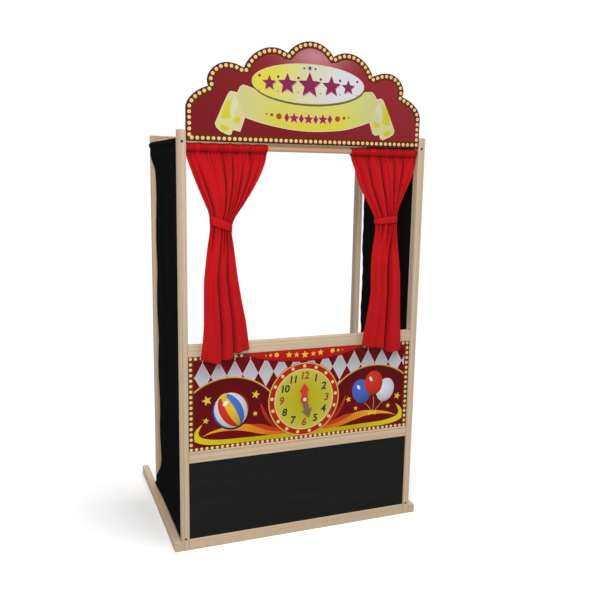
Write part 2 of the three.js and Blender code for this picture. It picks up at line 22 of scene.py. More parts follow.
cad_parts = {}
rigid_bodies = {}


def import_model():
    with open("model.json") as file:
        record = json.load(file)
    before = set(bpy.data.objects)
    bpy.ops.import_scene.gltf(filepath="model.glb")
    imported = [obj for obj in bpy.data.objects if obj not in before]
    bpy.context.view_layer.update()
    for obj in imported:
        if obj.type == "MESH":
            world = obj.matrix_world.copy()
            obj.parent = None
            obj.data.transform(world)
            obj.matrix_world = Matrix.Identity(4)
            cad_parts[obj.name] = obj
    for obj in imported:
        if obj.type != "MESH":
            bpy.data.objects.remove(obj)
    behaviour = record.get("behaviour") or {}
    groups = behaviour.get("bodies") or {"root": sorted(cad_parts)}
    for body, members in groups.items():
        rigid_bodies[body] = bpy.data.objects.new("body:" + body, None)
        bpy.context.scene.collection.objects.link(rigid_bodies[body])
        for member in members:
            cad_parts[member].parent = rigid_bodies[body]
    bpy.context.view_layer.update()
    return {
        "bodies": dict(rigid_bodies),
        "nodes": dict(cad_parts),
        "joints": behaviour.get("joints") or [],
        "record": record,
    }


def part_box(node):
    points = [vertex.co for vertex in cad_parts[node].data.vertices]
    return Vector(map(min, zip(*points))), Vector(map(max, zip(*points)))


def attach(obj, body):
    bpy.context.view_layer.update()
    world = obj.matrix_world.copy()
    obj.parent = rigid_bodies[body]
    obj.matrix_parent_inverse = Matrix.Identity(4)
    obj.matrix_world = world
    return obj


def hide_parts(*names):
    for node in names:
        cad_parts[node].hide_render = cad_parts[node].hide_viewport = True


MM = 0.001
TURN = 2 * math.pi
LOG = logging.getLogger("theater")

Point = tuple[float, float]
Place = Sequence[float]
Triple = tuple[float, float, float]
Colour = Triple
Ink = Callable[[float, float], Colour]
Outline = Sequence[Point]
Array = np.ndarray
Line = tuple[Sequence[Place], bool]
Item = bpy.types.Object
Coat = bpy.types.Material
Mesh = bpy.types.Mesh
Socket = bpy.types.NodeSocket

# How small a turn counts as straight, a distance as none and an area as nothing, in an outline
STRAIGHT = 1e-9
NEAR = 1e-4
SLIVER = 1e-7


class Side(Enum):
    """The stand's left and right, as the watcher sees them."""

    LEFT = -1
    RIGHT = 1

    @property
    def tag(self) -> str:
        """The side's name as the CAD nodes have it."""
        return self.name.lower()


class Grain(Enum):
    """The way a piece of wood's fibres run."""

    ACROSS = (1, 0, 0)
    DEEP = (0, 1, 0)
    UP = (0, 0, 1)

    def scale(self, across: float, along: float) -> Triple:
        """Gives a pattern's scale on each axis, from its scales across and along the fibres."""
        return tuple(along if axis else across for axis in self.value)


def tone(code: int) -> tuple[float, float, float, float]:
    """Turns a display colour's hex code into the linear colour that a node holds."""
    shares = [(code >> shift & 255) / 255 for shift in (16, 8, 0)]
    return (*[c / 12.92 if c <= 0.04045 else ((c + 0.055) / 1.055) ** 2.4 for c in shares], 1.0)


def dimmed(code: int) -> int:
    """A darker shade of a colour's hex code."""
    return sum(int((code >> shift & 255) * 0.62) << shift for shift in (16, 8, 0))


# Shader and geometry graphs


class NodeTree:
    """A node tree, with one method that adds any node."""

    def __init__(self, tree: bpy.types.NodeTree) -> None:
        """Starts the tree empty."""
        self.tree = tree
        self.tree.nodes.clear()

    def add(self, kind: str, sockets: dict | None = None, **settings: object) -> bpy.types.Node:
        """Adds a node.

        Args:
            kind: The node's type.
            sockets: What its inputs hold or are linked to.
            settings: Its properties; stops gives a colour ramp's places and colours.

        Returns:
            The node.
        """
        node = self.tree.nodes.new(kind)
        if stops := settings.pop("stops", ()):
            ramp = node.color_ramp.elements
            while len(ramp) < len(stops):
                ramp.new(0.5)
            for element, (share, colour) in zip(ramp, stops):
                element.position, element.color = share, colour
        for name, value in settings.items():
            setattr(node, name, value)
        for key, value in (sockets or {}).items():
            if isinstance(value, Value):
                value = value.socket
            if isinstance(value, Socket):
                self.tree.links.new(value, node.inputs[key])
            else:
                node.inputs[key].default_value = value
        return node


class Value:
    """A socket that arithmetic works on: each operator adds the Math node it stands for."""

    def __init__(self, graph: Graph, socket: Socket) -> None:
        """Wraps a socket of a graph."""
        self.graph = graph
        self.socket = socket

    def _join(self, operation: str, *terms: Value | float) -> Value:
        """Adds the Math node of one operation on its terms."""
        node = self.graph.add("ShaderNodeMath", dict(enumerate(terms)), operation=operation)
        return Value(self.graph, node.outputs[0])

    def __add__(self, other: Value | float) -> Value:
        """The value plus another."""
        return self._join("ADD", self, other)

    def __sub__(self, other: Value | float) -> Value:
        """The value less another."""
        return self._join("SUBTRACT", self, other)

    def __rsub__(self, other: Value | float) -> Value:
        """A number less the value."""
        return self._join("SUBTRACT", other, self)

    def __mul__(self, other: Value | float) -> Value:
        """The value times another."""
        return self._join("MULTIPLY", self, other)

    def __pow__(self, other: Value | float) -> Value:
        """The value to a power."""
        return self._join("POWER", self, other)

    __radd__ = __add__
    __rmul__ = __mul__

    def sine(self) -> Value:
        """The sine of the value, in radians."""
        return self._join("SINE", self)

    def above(self, low: float, high: float) -> Value:
        """How far the value is from low to high, held between 0 and 1."""
        sockets = {"Value": self, "From Min": low, "From Max": high}
        return Value(self.graph, self.graph.add("ShaderNodeMapRange", sockets, clamp=True).outputs[0])


class Graph(NodeTree):
    """The shading graph of a material or the world, with the nodes that finishes share."""

    def __init__(self, owner: Coat | bpy.types.World) -> None:
        """Starts the owner's graph empty."""
        owner.use_nodes = True
        super().__init__(owner.node_tree)

    def place(self) -> Socket:
        """The point's Object coordinates."""
        return self.add("ShaderNodeTexCoord").outputs["Object"]

    def attribute(self, name: str) -> bpy.types.Node:
        """The node that reads a named attribute of the mesh."""
        return self.add("ShaderNodeAttribute", attribute_name=name)

    def mapped(self, vector: Socket, scale: Place, shift: Place = (0, 0, 0)) -> Socket:
        """Scales and shifts a vector."""
        sockets = {"Vector": vector, "Location": shift, "Scale": scale}
        return self.add("ShaderNodeMapping", sockets).outputs[0]

    def noise(self, vector: Socket, scale: float, detail: float = 2.0) -> Value:
        """Smooth noise round 0.5 at a vector."""
        sockets = {"Vector": vector, "Scale": scale, "Detail": detail}
        return Value(self, self.add("ShaderNodeTexNoise", sockets).outputs[0])

    def split(self, vector: Socket) -> list[Value]:
        """A vector's three parts."""
        node = self.add("ShaderNodeSeparateXYZ", {0: vector})
        return [Value(self, output) for output in node.outputs]

    def mixed(self, share: Value | float, first: object, second: object, blend: str = "MIX") -> Socket:
        """Mixes two colours by a share."""
        sockets = {0: share, 6: first, 7: second}
        return self.add("ShaderNodeMix", sockets, data_type="RGBA", blend_type=blend).outputs[2]

    def relief(self, height: Value, depth: float) -> Socket:
        """A normal for a height from 0 to 1 that stands for a depth in millimetres."""
        return self.add("ShaderNodeBump", {"Height": height, "Distance": depth * MM}).outputs[0]


class ShapeTree(NodeTree):
    """A Geometry Nodes tree with named inputs, which ends in real geometry with one material."""

    def __init__(self, name: str) -> None:
        """Starts the tree with the shape that goes in.

        Args:
            name: The tree's name.
        """
        super().__init__(bpy.data.node_groups.new(name, "GeometryNodeTree"))
        self.entry = self.tree.nodes.new("NodeGroupInput")
        self.keys: dict[str, str] = {}
        self.shape = self.input("Line", "NodeSocketGeometry")

    def input(self, name: str, kind: str) -> Socket:
        """Adds a named input and returns its socket inside the tree.

        Args:
            name: The input's name.
            kind: Its socket's type.

        Returns:
            The socket.
        """
        item = self.tree.interface.new_socket(name, in_out="INPUT", socket_type=kind)
        self.keys[name] = item.identifier
        return self.entry.outputs[name]

    def scatter(self, points: Socket, axis: str, facing: dict) -> None:
        """Sets the small shape at points, makes the copies real and ends the tree.

        Args:
            points: Where the copies go.
            axis: The copies' own axis that is turned.
            facing: What says the way that it is turned.
        """
        small = self.input("Small shape", "NodeSocketObject")
        single = self.add("GeometryNodeObjectInfo", {0: small}).outputs["Geometry"]
        way = self.add("FunctionNodeAlignRotationToVector", facing, axis=axis).outputs[0]
        sockets = {"Points": points, "Instance": single, "Rotation": way}
        copies = self.add("GeometryNodeInstanceOnPoints", sockets).outputs[0]
        self.tree.interface.new_socket("Shape", in_out="OUTPUT", socket_type="NodeSocketGeometry")
        real = self.add("GeometryNodeRealizeInstances", {0: copies}).outputs[0]
        finish = self.input("Finish", "NodeSocketMaterial")
        dressed = self.add("GeometryNodeSetMaterial", {0: real, 2: finish}).outputs[0]
        self.add("NodeGroupOutput", {0: dressed})

    def run(self, source: Item, values: dict[str, object]) -> Mesh:
        """Runs the tree on an object.

        Args:
            source: The object whose mesh goes in; it is removed afterwards.
            values: What each named input holds.

        Returns:
            The plain mesh that comes out.
        """
        modifier = source.modifiers.new("shape", "NODES")
        modifier.node_group = self.tree
        for name, value in values.items():
            modifier[self.keys[name]] = value
        mesh = finished_mesh(source)
        bpy.data.objects.remove(source)
        return mesh


def line_tree() -> ShapeTree:
    """Builds the tree that sets a small shape along lines, at a pitch, turned or not to follow them."""
    tree = ShapeTree("shapes_along_line")
    pitch, follow = tree.input("Pitch", "NodeSocketFloat"), tree.input("Follow", "NodeSocketFloat")
    curve = tree.add("GeometryNodeMeshToCurve", {0: tree.shape}).outputs[0]
    steps = tree.add("GeometryNodeResampleCurve", {0: curve, "Length": pitch}, mode="LENGTH")
    tangent = tree.add("GeometryNodeInputTangent").outputs[0]
    tree.scatter(steps.outputs[0], "X", {"Factor": follow, "Vector": tangent})
    return tree


def point_tree() -> ShapeTree:
    """Builds the tree that sets a small shape at each point, facing the way that the point says."""
    tree = ShapeTree("shapes_at_points")
    name = {"Name": "facing"}
    facing = tree.add("GeometryNodeInputNamedAttribute", name, data_type="FLOAT_VECTOR").outputs[0]
    tree.scatter(tree.shape, "Z", {"Vector": facing})
    return tree


# Finishes


@dataclass(frozen=True)
class Finish:
    """A finish, which builds its own material."""

    name: str

    def material(self) -> Coat:
        """Builds the material: a Principled surface in the finish's own graph."""
        material = bpy.data.materials.new(self.name)
        graph = Graph(material)
        shader = graph.add("ShaderNodeBsdfPrincipled", self.surface(graph))
        graph.add("ShaderNodeOutputMaterial", {0: shader.outputs[0]})
        return material

    def surface(self, graph: Graph) -> dict[str, object]:
        """What each input of the surface holds."""
        raise NotImplementedError


@dataclass(frozen=True)
class Wood(Finish):
    """Softwood: growth rings round a pith beside the piece, with fibres, streaks and soft patches.

    The pith's place across the fibres is in metres, and the ring pitch and the relief are in
    millimetres.
    """

    grain: Grain
    pale: int
    deep: int
    warm: int
    pith: Triple = (0.19, 0.33, 0.33)
    ring_pitch: float = 3.6
    relief: float = 0.12

    def surface(self, graph: Graph) -> dict[str, object]:
        """Rings, fibres, streaks and patches shade the wood, and resin warms it in places.

        Args:
            graph: The finish's graph.

        Returns:
            What each input of the surface holds.
        """
        place = graph.place()

        def fibres(across: float, along: float, detail: float = 2.0, shift: Place = (0, 0, 0)) -> Value:
            """Noise that is drawn out along the fibres."""
            return graph.noise(graph.mapped(place, self.grain.scale(across, along), shift), 1, detail)

        beside = [0 if along else away for along, away in zip(self.grain.value, self.pith)]
        stretched = graph.mapped(place, self.grain.scale(1, 0.03), beside)
        length = graph.add("ShaderNodeVectorMath", {0: stretched}, operation="LENGTH")
        radius = Value(graph, length.outputs["Value"]) + fibres(9, 0.22) * 0.016
        late = ((radius * (TURN / (self.ring_pitch * MM))).sine() * 0.5 + 0.5) ** 2.5
        fibre = fibres(1500, 26, 3)
        shade = late * 0.32 + fibre * 0.45 + fibres(230, 0.7, 3) * 1.5 + fibres(38, 0.5) * 0.5 - 0.99
        resin = fibres(75, 0.8, 3, (3, 1, 2))
        plain = graph.mixed(shade.above(0, 1), tone(self.pale), tone(self.deep))
        return {
            "Base Color": graph.mixed(resin.above(0.48, 0.78) * 0.6, plain, tone(self.warm)),
            "Roughness": fibre * 0.2 + 0.46,
            "Specular IOR Level": 0.3,
            "Normal": graph.relief(fibre * 0.7 + late * 0.3, self.relief),
        }


@dataclass(frozen=True)
class Weave(Finish):
    """Plain-woven cloth on the piece's own weave map, with painted shade darkening its creases and folds.

    The thread pitch is in millimetres.
    """

    base: int
    deep: int
    # The colour of the painted shade in the cloth's creases and folds.
    hollow: int
    thread: float = 0.8
    sheen: float = 0.15
    sheen_tint: int = 0xFFFFFF
    gloss: float = 0.12
    relief: float = 0.22

    def surface(self, graph: Graph) -> dict[str, object]:
        """Threads both ways and a soft cloud shade the cloth, and painted shade from the mesh darkens its
        creases.

        Args:
            graph: The finish's graph.

        Returns:
            What each input of the surface holds.
        """
        place = graph.add("ShaderNodeUVMap", uv_map="weave").outputs["UV"]
        across, down, _ = graph.split(place)
        turns = TURN / (self.thread * MM)
        weave = (across * turns).sine() * (down * turns).sine() * 0.5 + 0.5
        warp = graph.noise(graph.mapped(place, (900, 9, 1)), 1, 3)
        weft = graph.noise(graph.mapped(place, (9, 900, 1)), 1, 3)
        shade = weave * 0.3 + warp * 0.35 + weft * 0.3 + graph.noise(place, 11, 3) * 0.8 - 0.4
        # Painted shade: the mesh's attribute darkens the cloth towards its painted shade colour.
        hollow = Value(graph, graph.attribute("hollow").outputs["Fac"]).above(0, 1)
        dyed = graph.mixed(shade.above(0, 1), tone(self.base), tone(self.deep))
        return {
            "Base Color": graph.mixed(hollow, dyed, tone(self.hollow)),
            "Roughness": warp * 0.2 + 0.75,
            "Specular IOR Level": self.gloss,
            "Sheen Weight": self.sheen,
            "Sheen Roughness": 0.45,
            "Sheen Tint": tone(self.sheen_tint),
            "Normal": graph.relief(weave * 0.6 + warp * 0.2 + weft * 0.2, self.relief),
        }


@dataclass(frozen=True)
class Printed(Finish):
    """Print under a satin coat, in the colours that the film's corners hold."""

    def surface(self, graph: Graph) -> dict[str, object]:
        """A little wear clouds the ink.

        Args:
            graph: The finish's graph.

        Returns:
            What each input of the surface holds.
        """
        place = graph.place()
        cloud = graph.noise(place, 7, 3)
        wear = (graph.noise(place, 700, 2) * 0.5 + cloud * 0.5).above(0.25, 0.75)
        worn = graph.mixed(wear, (0.86, 0.86, 0.86, 1), (1.06, 1.06, 1.06, 1))
        ink = graph.attribute("ink").outputs["Color"]
        return {
            "Base Color": graph.mixed(1.0, ink, worn, "MULTIPLY"),
            "Roughness": cloud * 0.25 + 0.28,
            "Specular IOR Level": 0.07,
            "Coat Weight": 0.02,
            "Coat Roughness": 0.2,
            "Normal": graph.relief(graph.noise(place, 260, 2), 0.05),
        }


@dataclass(frozen=True)
class Moulded(Finish):
    """Moulded plastic or paint: one colour, clouded a little, with a fine texture."""

    base: int
    deep: int
    roughness: float = 0.35
    metal: float = 0.0
    gloss: float = 0.4
    texture: float = 320
    relief: float = 0.04

    def surface(self, graph: Graph) -> dict[str, object]:
        """A cloud and the fine texture shade the colour.

        Args:
            graph: The finish's graph.

        Returns:
            What each input of the surface holds.
        """
        fine = graph.noise(graph.place(), self.texture, 3)
        shade = (graph.noise(graph.place(), 45, 3) * 0.6 + fine * 0.4).above(0.3, 0.75)
        return {
            "Base Color": graph.mixed(shade, tone(self.base), tone(self.deep)),
            "Roughness": fine * 0.16 + self.roughness - 0.08,
            "Metallic": self.metal,
            "Specular IOR Level": self.gloss,
            "Normal": graph.relief(fine, self.relief),
        }


@dataclass(frozen=True)
class BulbPrint(Finish):
    """The light dots' finish: a warm disc with a darker spot in it, by the share of its radius."""

    stops: tuple[tuple[float, int], ...] = (
        (0.0, 0xB87A3C), (0.2, 0xCE9458), (0.34, 0xFAD9A6), (0.72, 0xF8CE96), (1.0, 0xE0A261)
    )  # fmt: skip

    def surface(self, graph: Graph) -> dict[str, object]:
        """A colour ramp from the dot's middle to its rim, with specks.

        Args:
            graph: The finish's graph.

        Returns:
            What each input of the surface holds.
        """
        share = graph.attribute("radius_share").outputs["Fac"]
        stops = [(place, tone(code)) for place, code in self.stops]
        ramp = graph.add("ShaderNodeValToRGB", {0: share}, stops=stops).outputs[0]
        speck = graph.noise(graph.place(), 900, 2)
        colour = graph.mixed(speck.above(0.45, 0.9), ramp, tone(0xE7B47A))
        return {"Base Color": colour, "Roughness": speck * 0.2 + 0.25, "Specular IOR Level": 0.25}


@dataclass(frozen=True)
class ChalkPaint(Finish):
    """Matt black board paint, with the dust of wiped chalk in slanting smears and a few scratches."""

    base: int = 0x1C1C1D
    deep: int = 0x232324
    dust: int = 0x3A3B3C
    scratch_pitch: float = 71

    def surface(self, graph: Graph) -> dict[str, object]:
        """Dust lies in the smears and along the scratches.

        Args:
            graph: The finish's graph.

        Returns:
            What each input of the surface holds.
        """
        place = graph.place()
        across, _, up = graph.split(place)
        fine = graph.noise(place, 900, 3)
        paint = graph.mixed(fine.above(0.35, 0.7), tone(self.base), tone(self.deep))
        smear = graph.noise(graph.mapped(place, (5, 1, 34)), 1, 4)
        wander = graph.noise(graph.mapped(place, (7, 1, 7)), 1, 2)
        line = ((up - across * 0.22) * self.scratch_pitch + wander * 3).sine().above(0.994, 1.0)
        worn = line * graph.noise(place, 14, 2).above(0.55, 0.75) * 0.5
        dusty = smear.above(0.5, 0.9) * graph.noise(place, 9, 3).above(0.4, 0.8) * 0.55
        return {
            "Base Color": graph.mixed((dusty + worn).above(0, 1), paint, tone(self.dust)),
            "Roughness": fine * 0.16 + 0.77,
            "Specular IOR Level": 0.05,
            "Normal": graph.relief(fine, 0.08),
        }


class Finishes:
    """Every finish of the stand, each built once."""

    def __init__(self) -> None:
        """Builds them."""
        pine, rod = (0xDAC4A8, 0xA68C6E, 0xD9AE85), (0xDDB592, 0xB5825C, 0xDCA878)
        self.pine = {grain: Wood(f"pine_{grain.name.lower()}", grain, *pine).material() for grain in Grain}
        self.dowel = {
            grain: Wood(f"dowel_{grain.name.lower()}", grain, *rod, ring_pitch=2.6).material()
            for grain in (Grain.ACROSS, Grain.DEEP)
        }
        # The third colour of each weave is the painted shade that its creases get.
        red_weave = Weave("red_weave", 0xD8171E, 0xAC0D14, 0x3A0407, sheen_tint=0xFF8A80)
        black_weave = Weave("black_weave", 0x1F1F20, 0x151516, 0x0C0C0C, thread=1.0, sheen=0.0, gloss=0.0)
        self.print = Printed("satin_print").material()
        self.bulb = BulbPrint("light_dots").material()
        self.board_back = Moulded("fibre_board", 0xA98A68, 0x8E6F4E, 0.75, gloss=0.2).material()
        self.board_edge = Moulded("painted_edge", 0x3A2618, 0x281A10, 0.6, gloss=0.2).material()
        self.chalk = ChalkPaint("chalk_paint").material()
        self.red_cloth, self.black_cloth = red_weave.material(), black_weave.material()
        self.red_thread = Moulded("red_thread", 0xB5121A, 0x8C0C12, 0.8, gloss=0.1).material()
        self.black_thread = Moulded("black_thread", 0x2B2C30, 0x18191B, 0.8, gloss=0.1).material()
        self.edge_thread = Moulded("edge_thread", 0x8C8272, 0x5E564B, 0.8, gloss=0.1).material()
        self.red_plastic = Moulded("red_plastic", 0xD91E16, 0xC01710).material()
        self.brown_plastic = Moulded("brown_plastic", 0x80624F, 0x6B5040, 0.45).material()
        self.white_plastic = Moulded("white_plastic", 0xF4E8E0, 0xE6D5CB).material()
        self.steel = Moulded("black_screw", 0x4A403A, 0x2B2522, 0.42, metal=0.85).material()
        self.black_ink = Moulded("black_numerals", 0x191B12, 0x262816, 0.35, gloss=0.25).material()
        self.red_ink = Moulded("red_numerals", 0xA5421D, 0x8E3517, 0.35, gloss=0.25).material()


# Mesh making


@dataclass(frozen=True)
class Box:
    """A CAD node's box at rest."""

    low: Vector
    high: Vector

    @classmethod
    def of(cls, node: str) -> Box:
        """Reads the box of a node, in millimetres."""
        low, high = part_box(node)
        return cls(low / MM, high / MM)

    @property
    def centre(self) -> Vector:
        """The box's centre."""
        return (self.low + self.high) / 2


def linked(name: str, mesh: Mesh, finishes: Sequence[Coat] = ()) -> Item:
    """Puts a mesh, with its name and finishes, into the scene as an object.

    Args:
        name: The object's name.
        mesh: Its mesh.
        finishes: Its materials.

    Returns:
        The object.
    """
    for finish in finishes:
        mesh.materials.append(finish)
    mesh.update()
    mesh.name = name
    item = bpy.data.objects.new(name, mesh)
    bpy.context.scene.collection.objects.link(item)
    return item


def piece(
    name: str,
    points: Iterable[Place],
    faces: Iterable[Sequence[int]],
    finishes: Sequence[Coat] = (),
    smooth: bool = True,
    edges: Sequence[tuple[int, int]] = (),
) -> Item:
    """Makes an object from points in millimetres.

    Args:
        name: The object's name.
        points: Its corners.
        faces: The corners of each face, anticlockwise from outside.
        finishes: Its materials.
        smooth: Whether its faces are shaded smooth.
        edges: Edges without a face, where it is a line.

    Returns:
        The object, at the origin, linked to the scene.
    """
    mesh = bpy.data.meshes.new(name)
    mesh.from_pydata([[c * MM for c in point] for point in points], edges, [tuple(f) for f in faces])
    mesh.polygons.foreach_set("use_smooth", [smooth] * len(mesh.polygons))
    return linked(name, mesh, finishes)


def settle(item: Item, body: str, nodes: Sequence[str] = ()) -> Item:
    """Makes a piece ride on its body and the nodes it stands for, and reports it.

    Args:
        item: The piece.
        body: The body that it rides on.
        nodes: The CAD nodes that it stands for.

    Returns:
        The same piece.
    """
    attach(item, body)
    if nodes:
        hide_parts(*nodes)
    LOG.info("%s: %d faces, rides on %s", item.name, len(item.data.polygons), body)
    return item


def crease(item: Item, degrees: float = 35) -> Item:
    """Keeps a smooth piece's edges sharp where its faces turn by more than an angle."""
    item.data.set_sharp_from_angle(angle=math.radians(degrees))
    return item


def finished_mesh(item: Item) -> Mesh:
    """A plain mesh of what an object's modifiers make of it."""
    view = bpy.context.evaluated_depsgraph_get()
    return bpy.data.meshes.new_from_object(item.evaluated_get(view), depsgraph=view)


def joined(name: str, meshes: Sequence[Mesh]) -> Item:
    """Joins meshes of one finish into one piece, and removes them with their objects.

    Args:
        name: The new piece's name.
        meshes: The meshes.

    Returns:
        The piece.
    """
    if len(meshes) == 1:
        return linked(name, meshes[0])
    shell = bmesh.new()
    finishes = list(meshes[0].materials)
    for mesh in meshes:
        shell.from_mesh(mesh)
        bpy.data.meshes.remove(mesh)
    whole = bpy.data.meshes.new(name)
    shell.to_mesh(whole)
    shell.free()
    return linked(name, whole, finishes)


def grid_faces(
    rows: int, columns: int, closed: bool = False, start: int = 0, flip: bool = False
) -> list[tuple[int, ...]]:
    """Gives the quads of a grid of points, row by row.

    Args:
        rows: How many rows it has.
        columns: How many points a row has.
        closed: Whether each row's last point is joined to its first.
        start: The number of its first point.
        flip: Whether the faces look the other way.

    Returns:
        The corners of each face.
    """
    faces = []
    for j in range(rows - 1):
        for i in range(columns if closed else columns - 1):
            a, b = start + j * columns + i, start + j * columns + (i + 1) % columns
            faces.append((a, b, b + columns, a + columns) if flip else (a, a + columns, b + columns, b))
    return faces


def turned(name: str, profile: Outline, axis: Grain, centre: Place, finish: Coat, sides: int = 40) -> Item:
    """Makes a turned piece.

    Args:
        name: The object's name.
        profile: Radius and place along the axis of each step; it starts and ends on the axis.
        axis: The axis it is turned about.
        centre: The point that the profile is measured from.
        finish: Its material.
        sides: How many faces go round it.

    Returns:
        The object.
    """
    way = Vector(axis.value)
    first = way.orthogonal().normalized()
    second = way.cross(first)
    points = [tuple(Vector(centre) + way * profile[0][1])]
    for radius, along in profile[1:-1]:
        for cosine, sine in disc((0, 0), 1, sides):
            points.append(tuple(Vector(centre) + way * along + (first * cosine + second * sine) * radius))
    points.append(tuple(Vector(centre) + way * profile[-1][1]))
    rings, last = len(profile) - 2, len(points) - 1
    rim = last - sides
    faces = [(0, 1 + (k + 1) % sides, 1 + k) for k in range(sides)]
    faces += grid_faces(rings, sides, closed=True, start=1, flip=True)
    faces += [(last, rim + k, rim + (k + 1) % sides) for k in range(sides)]
    return crease(piece(name, points, faces, [finish]))


def cut_plate(
    name: str, outlines: Sequence[Outline], box: Box, ease: float, finishes: Sequence[Coat]
) -> Item:
    """Cuts a flat piece with eased edges out of a sheet.

    Args:
        name: The object's name.
        outlines: Its outline in X and Z, then its holes.
        box: The box that gives its front and its thickness.
        ease: The radius of its edges.
        finishes: Its material, and where there is a second, that of its edges.

    Returns:
        The object.
    """
    front, thickness = box.low.y, box.high.y - box.low.y
    curve = bpy.data.curves.new(name, "CURVE")
    curve.dimensions, curve.fill_mode = "2D", "BOTH"
    curve.extrude, curve.bevel_depth, curve.bevel_resolution = thickness / 2 - ease, ease, 2
    curve.offset = -ease
    for outline in outlines:
        spline = curve.splines.new("POLY")
        spline.points.add(len(outline) - 1)
        for point, (x, z) in zip(spline.points, outline):
            point.co = (x, z, 0, 1)
        spline.use_cyclic_u = True
    return from_curve(name, curve, (0, front + thickness / 2, 0), finishes)


def from_curve(name: str, curve: bpy.types.Curve, shift: Place, finishes: Sequence[Coat]) -> Item:
    """Turns a flat curve or text, drawn in millimetres, into a piece that faces the front.

    Args:
        name: The object's name.
        curve: The curve, flat in X and Y.
        shift: Where its origin goes.
        finishes: Its material, and where there is a second, that of its edges.

    Returns:
        The object.
    """
    source = bpy.data.objects.new(name, curve)
    bpy.context.scene.collection.objects.link(source)
    mesh = finished_mesh(source)
    bpy.data.objects.remove(source)
    mesh.materials.clear()
    upright = Matrix.Translation(shift) @ Matrix.Rotation(math.pi / 2, 4, "X")
    mesh.transform(Matrix.Scale(MM, 4) @ upright)
    shell = bmesh.new()
    shell.from_mesh(mesh)
    bmesh.ops.remove_doubles(shell, verts=shell.verts, dist=0.005 * MM)
    bmesh.ops.recalc_face_normals(shell, faces=shell.faces)
    for face in shell.faces:
        face.smooth = True
        face.material_index = int(len(finishes) > 1 and abs(face.normal.y) < 0.99)
    shell.to_mesh(mesh)
    shell.free()
    return crease(linked(name, mesh, finishes))


# Outlines and inks of the printed films


def colours_of(*codes: int) -> list[Array]:
    """The linear colours of hex codes, as arrays."""
    return [np.array(tone(code)[:3]) for code in codes]


def flat(code: int) -> Ink:
    """An ink of one colour."""
    colour = tone(code)[:3]
    return lambda x, z: colour


def fade(start_code: int, end_code: int, start: Point, end: Point) -> Ink:
    """An ink that fades from one colour at a point to another at a second point.

    Args:
        start_code: The first colour's hex code.
        end_code: The second colour's hex code.
        start: The point of the first colour.
        end: The point of the second colour.

    Returns:
        The ink.
    """
    first, second = colours_of(start_code, end_code)
    origin, way = np.array(start), np.array(end) - np.array(start)

    def ink(x: float, z: float) -> Colour:
        """The colour at a place."""
        share = float(np.clip(np.dot(np.array([x, z]) - origin, way) / np.dot(way, way), 0, 1))
        return tuple(first + (second - first) * share)

    return ink


def glow(middle_code: int, edge_code: int, centre: Point, radius: float) -> Ink:
    """An ink that goes from one colour at a centre to another at a radius.

    Args:
        middle_code: The hex code at the centre.
        edge_code: The hex code at the radius.
        centre: The centre.
        radius: The radius.

    Returns:
        The ink.
    """
    first, second = colours_of(middle_code, edge_code)

    def ink(x: float, z: float) -> Colour:
        """The colour at a place."""
        share = min(1.0, math.hypot(x - centre[0], z - centre[1]) / radius)
        return tuple(first + (second - first) * share**2)

    return ink


def placed(outline: Outline, centre: Point, turn: float = 0) -> list[Point]:
    """An outline drawn round the origin, turned anticlockwise and moved to a centre."""
    cosine, sine = math.cos(turn), math.sin(turn)
    return [(centre[0] + x * cosine - z * sine, centre[1] + x * sine + z * cosine) for x, z in outline]


def ellipse(centre: Point, across: float, up: float, steps: int = 48, turn: float = 0) -> list[Point]:
    """An ellipse's outline, turned by an angle in radians."""
    angles = [TURN * k / steps for k in range(steps)]
    return placed([(across * math.cos(a), up * math.sin(a)) for a in angles], centre, turn)


def disc(centre: Point, radius: float, steps: int = 48) -> list[Point]:
    """A circle's outline."""
    return ellipse(centre, radius, radius, steps)


def star(centre: Point, reach: float, turn: float = 0, waist: float = 0.45) -> list[Point]:
    """The outline of a star with five tips.

    Args:
        centre: Its centre.
        reach: How far its tips are from the centre.
        turn: How far it is turned, in radians.
        waist: How far its inner corners are from the centre, as a share of the reach.

    Returns:
        The outline's points.
    """
    angles = [TURN * k / 10 + math.pi / 2 + turn for k in range(10)]
    radii = (reach, reach * waist) * 5
    return [(centre[0] + r * math.cos(a), centre[1] + r * math.sin(a)) for r, a in zip(radii, angles)]


def diamond(centre: Point, across: float, up: float) -> list[Point]:
    """A diamond's outline."""
    x, z = centre
    return [(x - across, z), (x, z - up), (x + across, z), (x, z + up)]


def block(left: float, low: float, right: float, high: float) -> list[Point]:
    """A rectangle's outline."""
    return [(left, low), (right, low), (right, high), (left, high)]


def smooth_path(points: Outline, steps: int = 6, closed: bool = False) -> list[Point]:
    """Runs a smooth curve through points, with so many steps between two of them.

    Args:
        points: The points.
        steps: How many steps go between two points.
        closed: Whether the curve comes back to its start.

    Returns:
        The curve's points.
    """
    padded = [points[-1], *points, *points[:2]] if closed else [points[0], *points, points[-1]]
    path = []
    for window in zip(padded, padded[1:], padded[2:], padded[3:]):
        p0, p1, p2, p3 = map(np.array, window)
        for i in range(steps):
            t = i / steps
            bend = 2 * p1 + (p2 - p0) * t + (2 * p0 - 5 * p1 + 4 * p2 - p3) * t**2
            path.append(tuple((bend + (3 * p1 - p0 - 3 * p2 + p3) * t**3) / 2))
    return path if closed else [*path, tuple(points[-1])]


def mirrored(outline: Outline, sign: int = -1) -> list[Point]:
    """The same outline on the other side of the middle, or where it was if the sign is 1."""
    return [(sign * x, z) for x, z in outline]


def inset(outline: Outline, depth: float, closed: bool = True) -> list[Point]:
    """The line at a depth to the left of the way along a line.

    Args:
        outline: The line.
        depth: The depth.
        closed: Whether the line comes back to its start.

    Returns:
        The new line's points.
    """
    count, moved = len(outline), []
    for k, (x, z) in enumerate(outline):
        before = outline[k - 1] if closed or k else outline[0]
        after = outline[(k + 1) % count] if closed or k < count - 1 else outline[-1]
        dx, dz = after[0] - before[0], after[1] - before[1]
        length = math.hypot(dx, dz) or 1
        moved.append((x - dz / length * depth, z + dx / length * depth))
    return moved


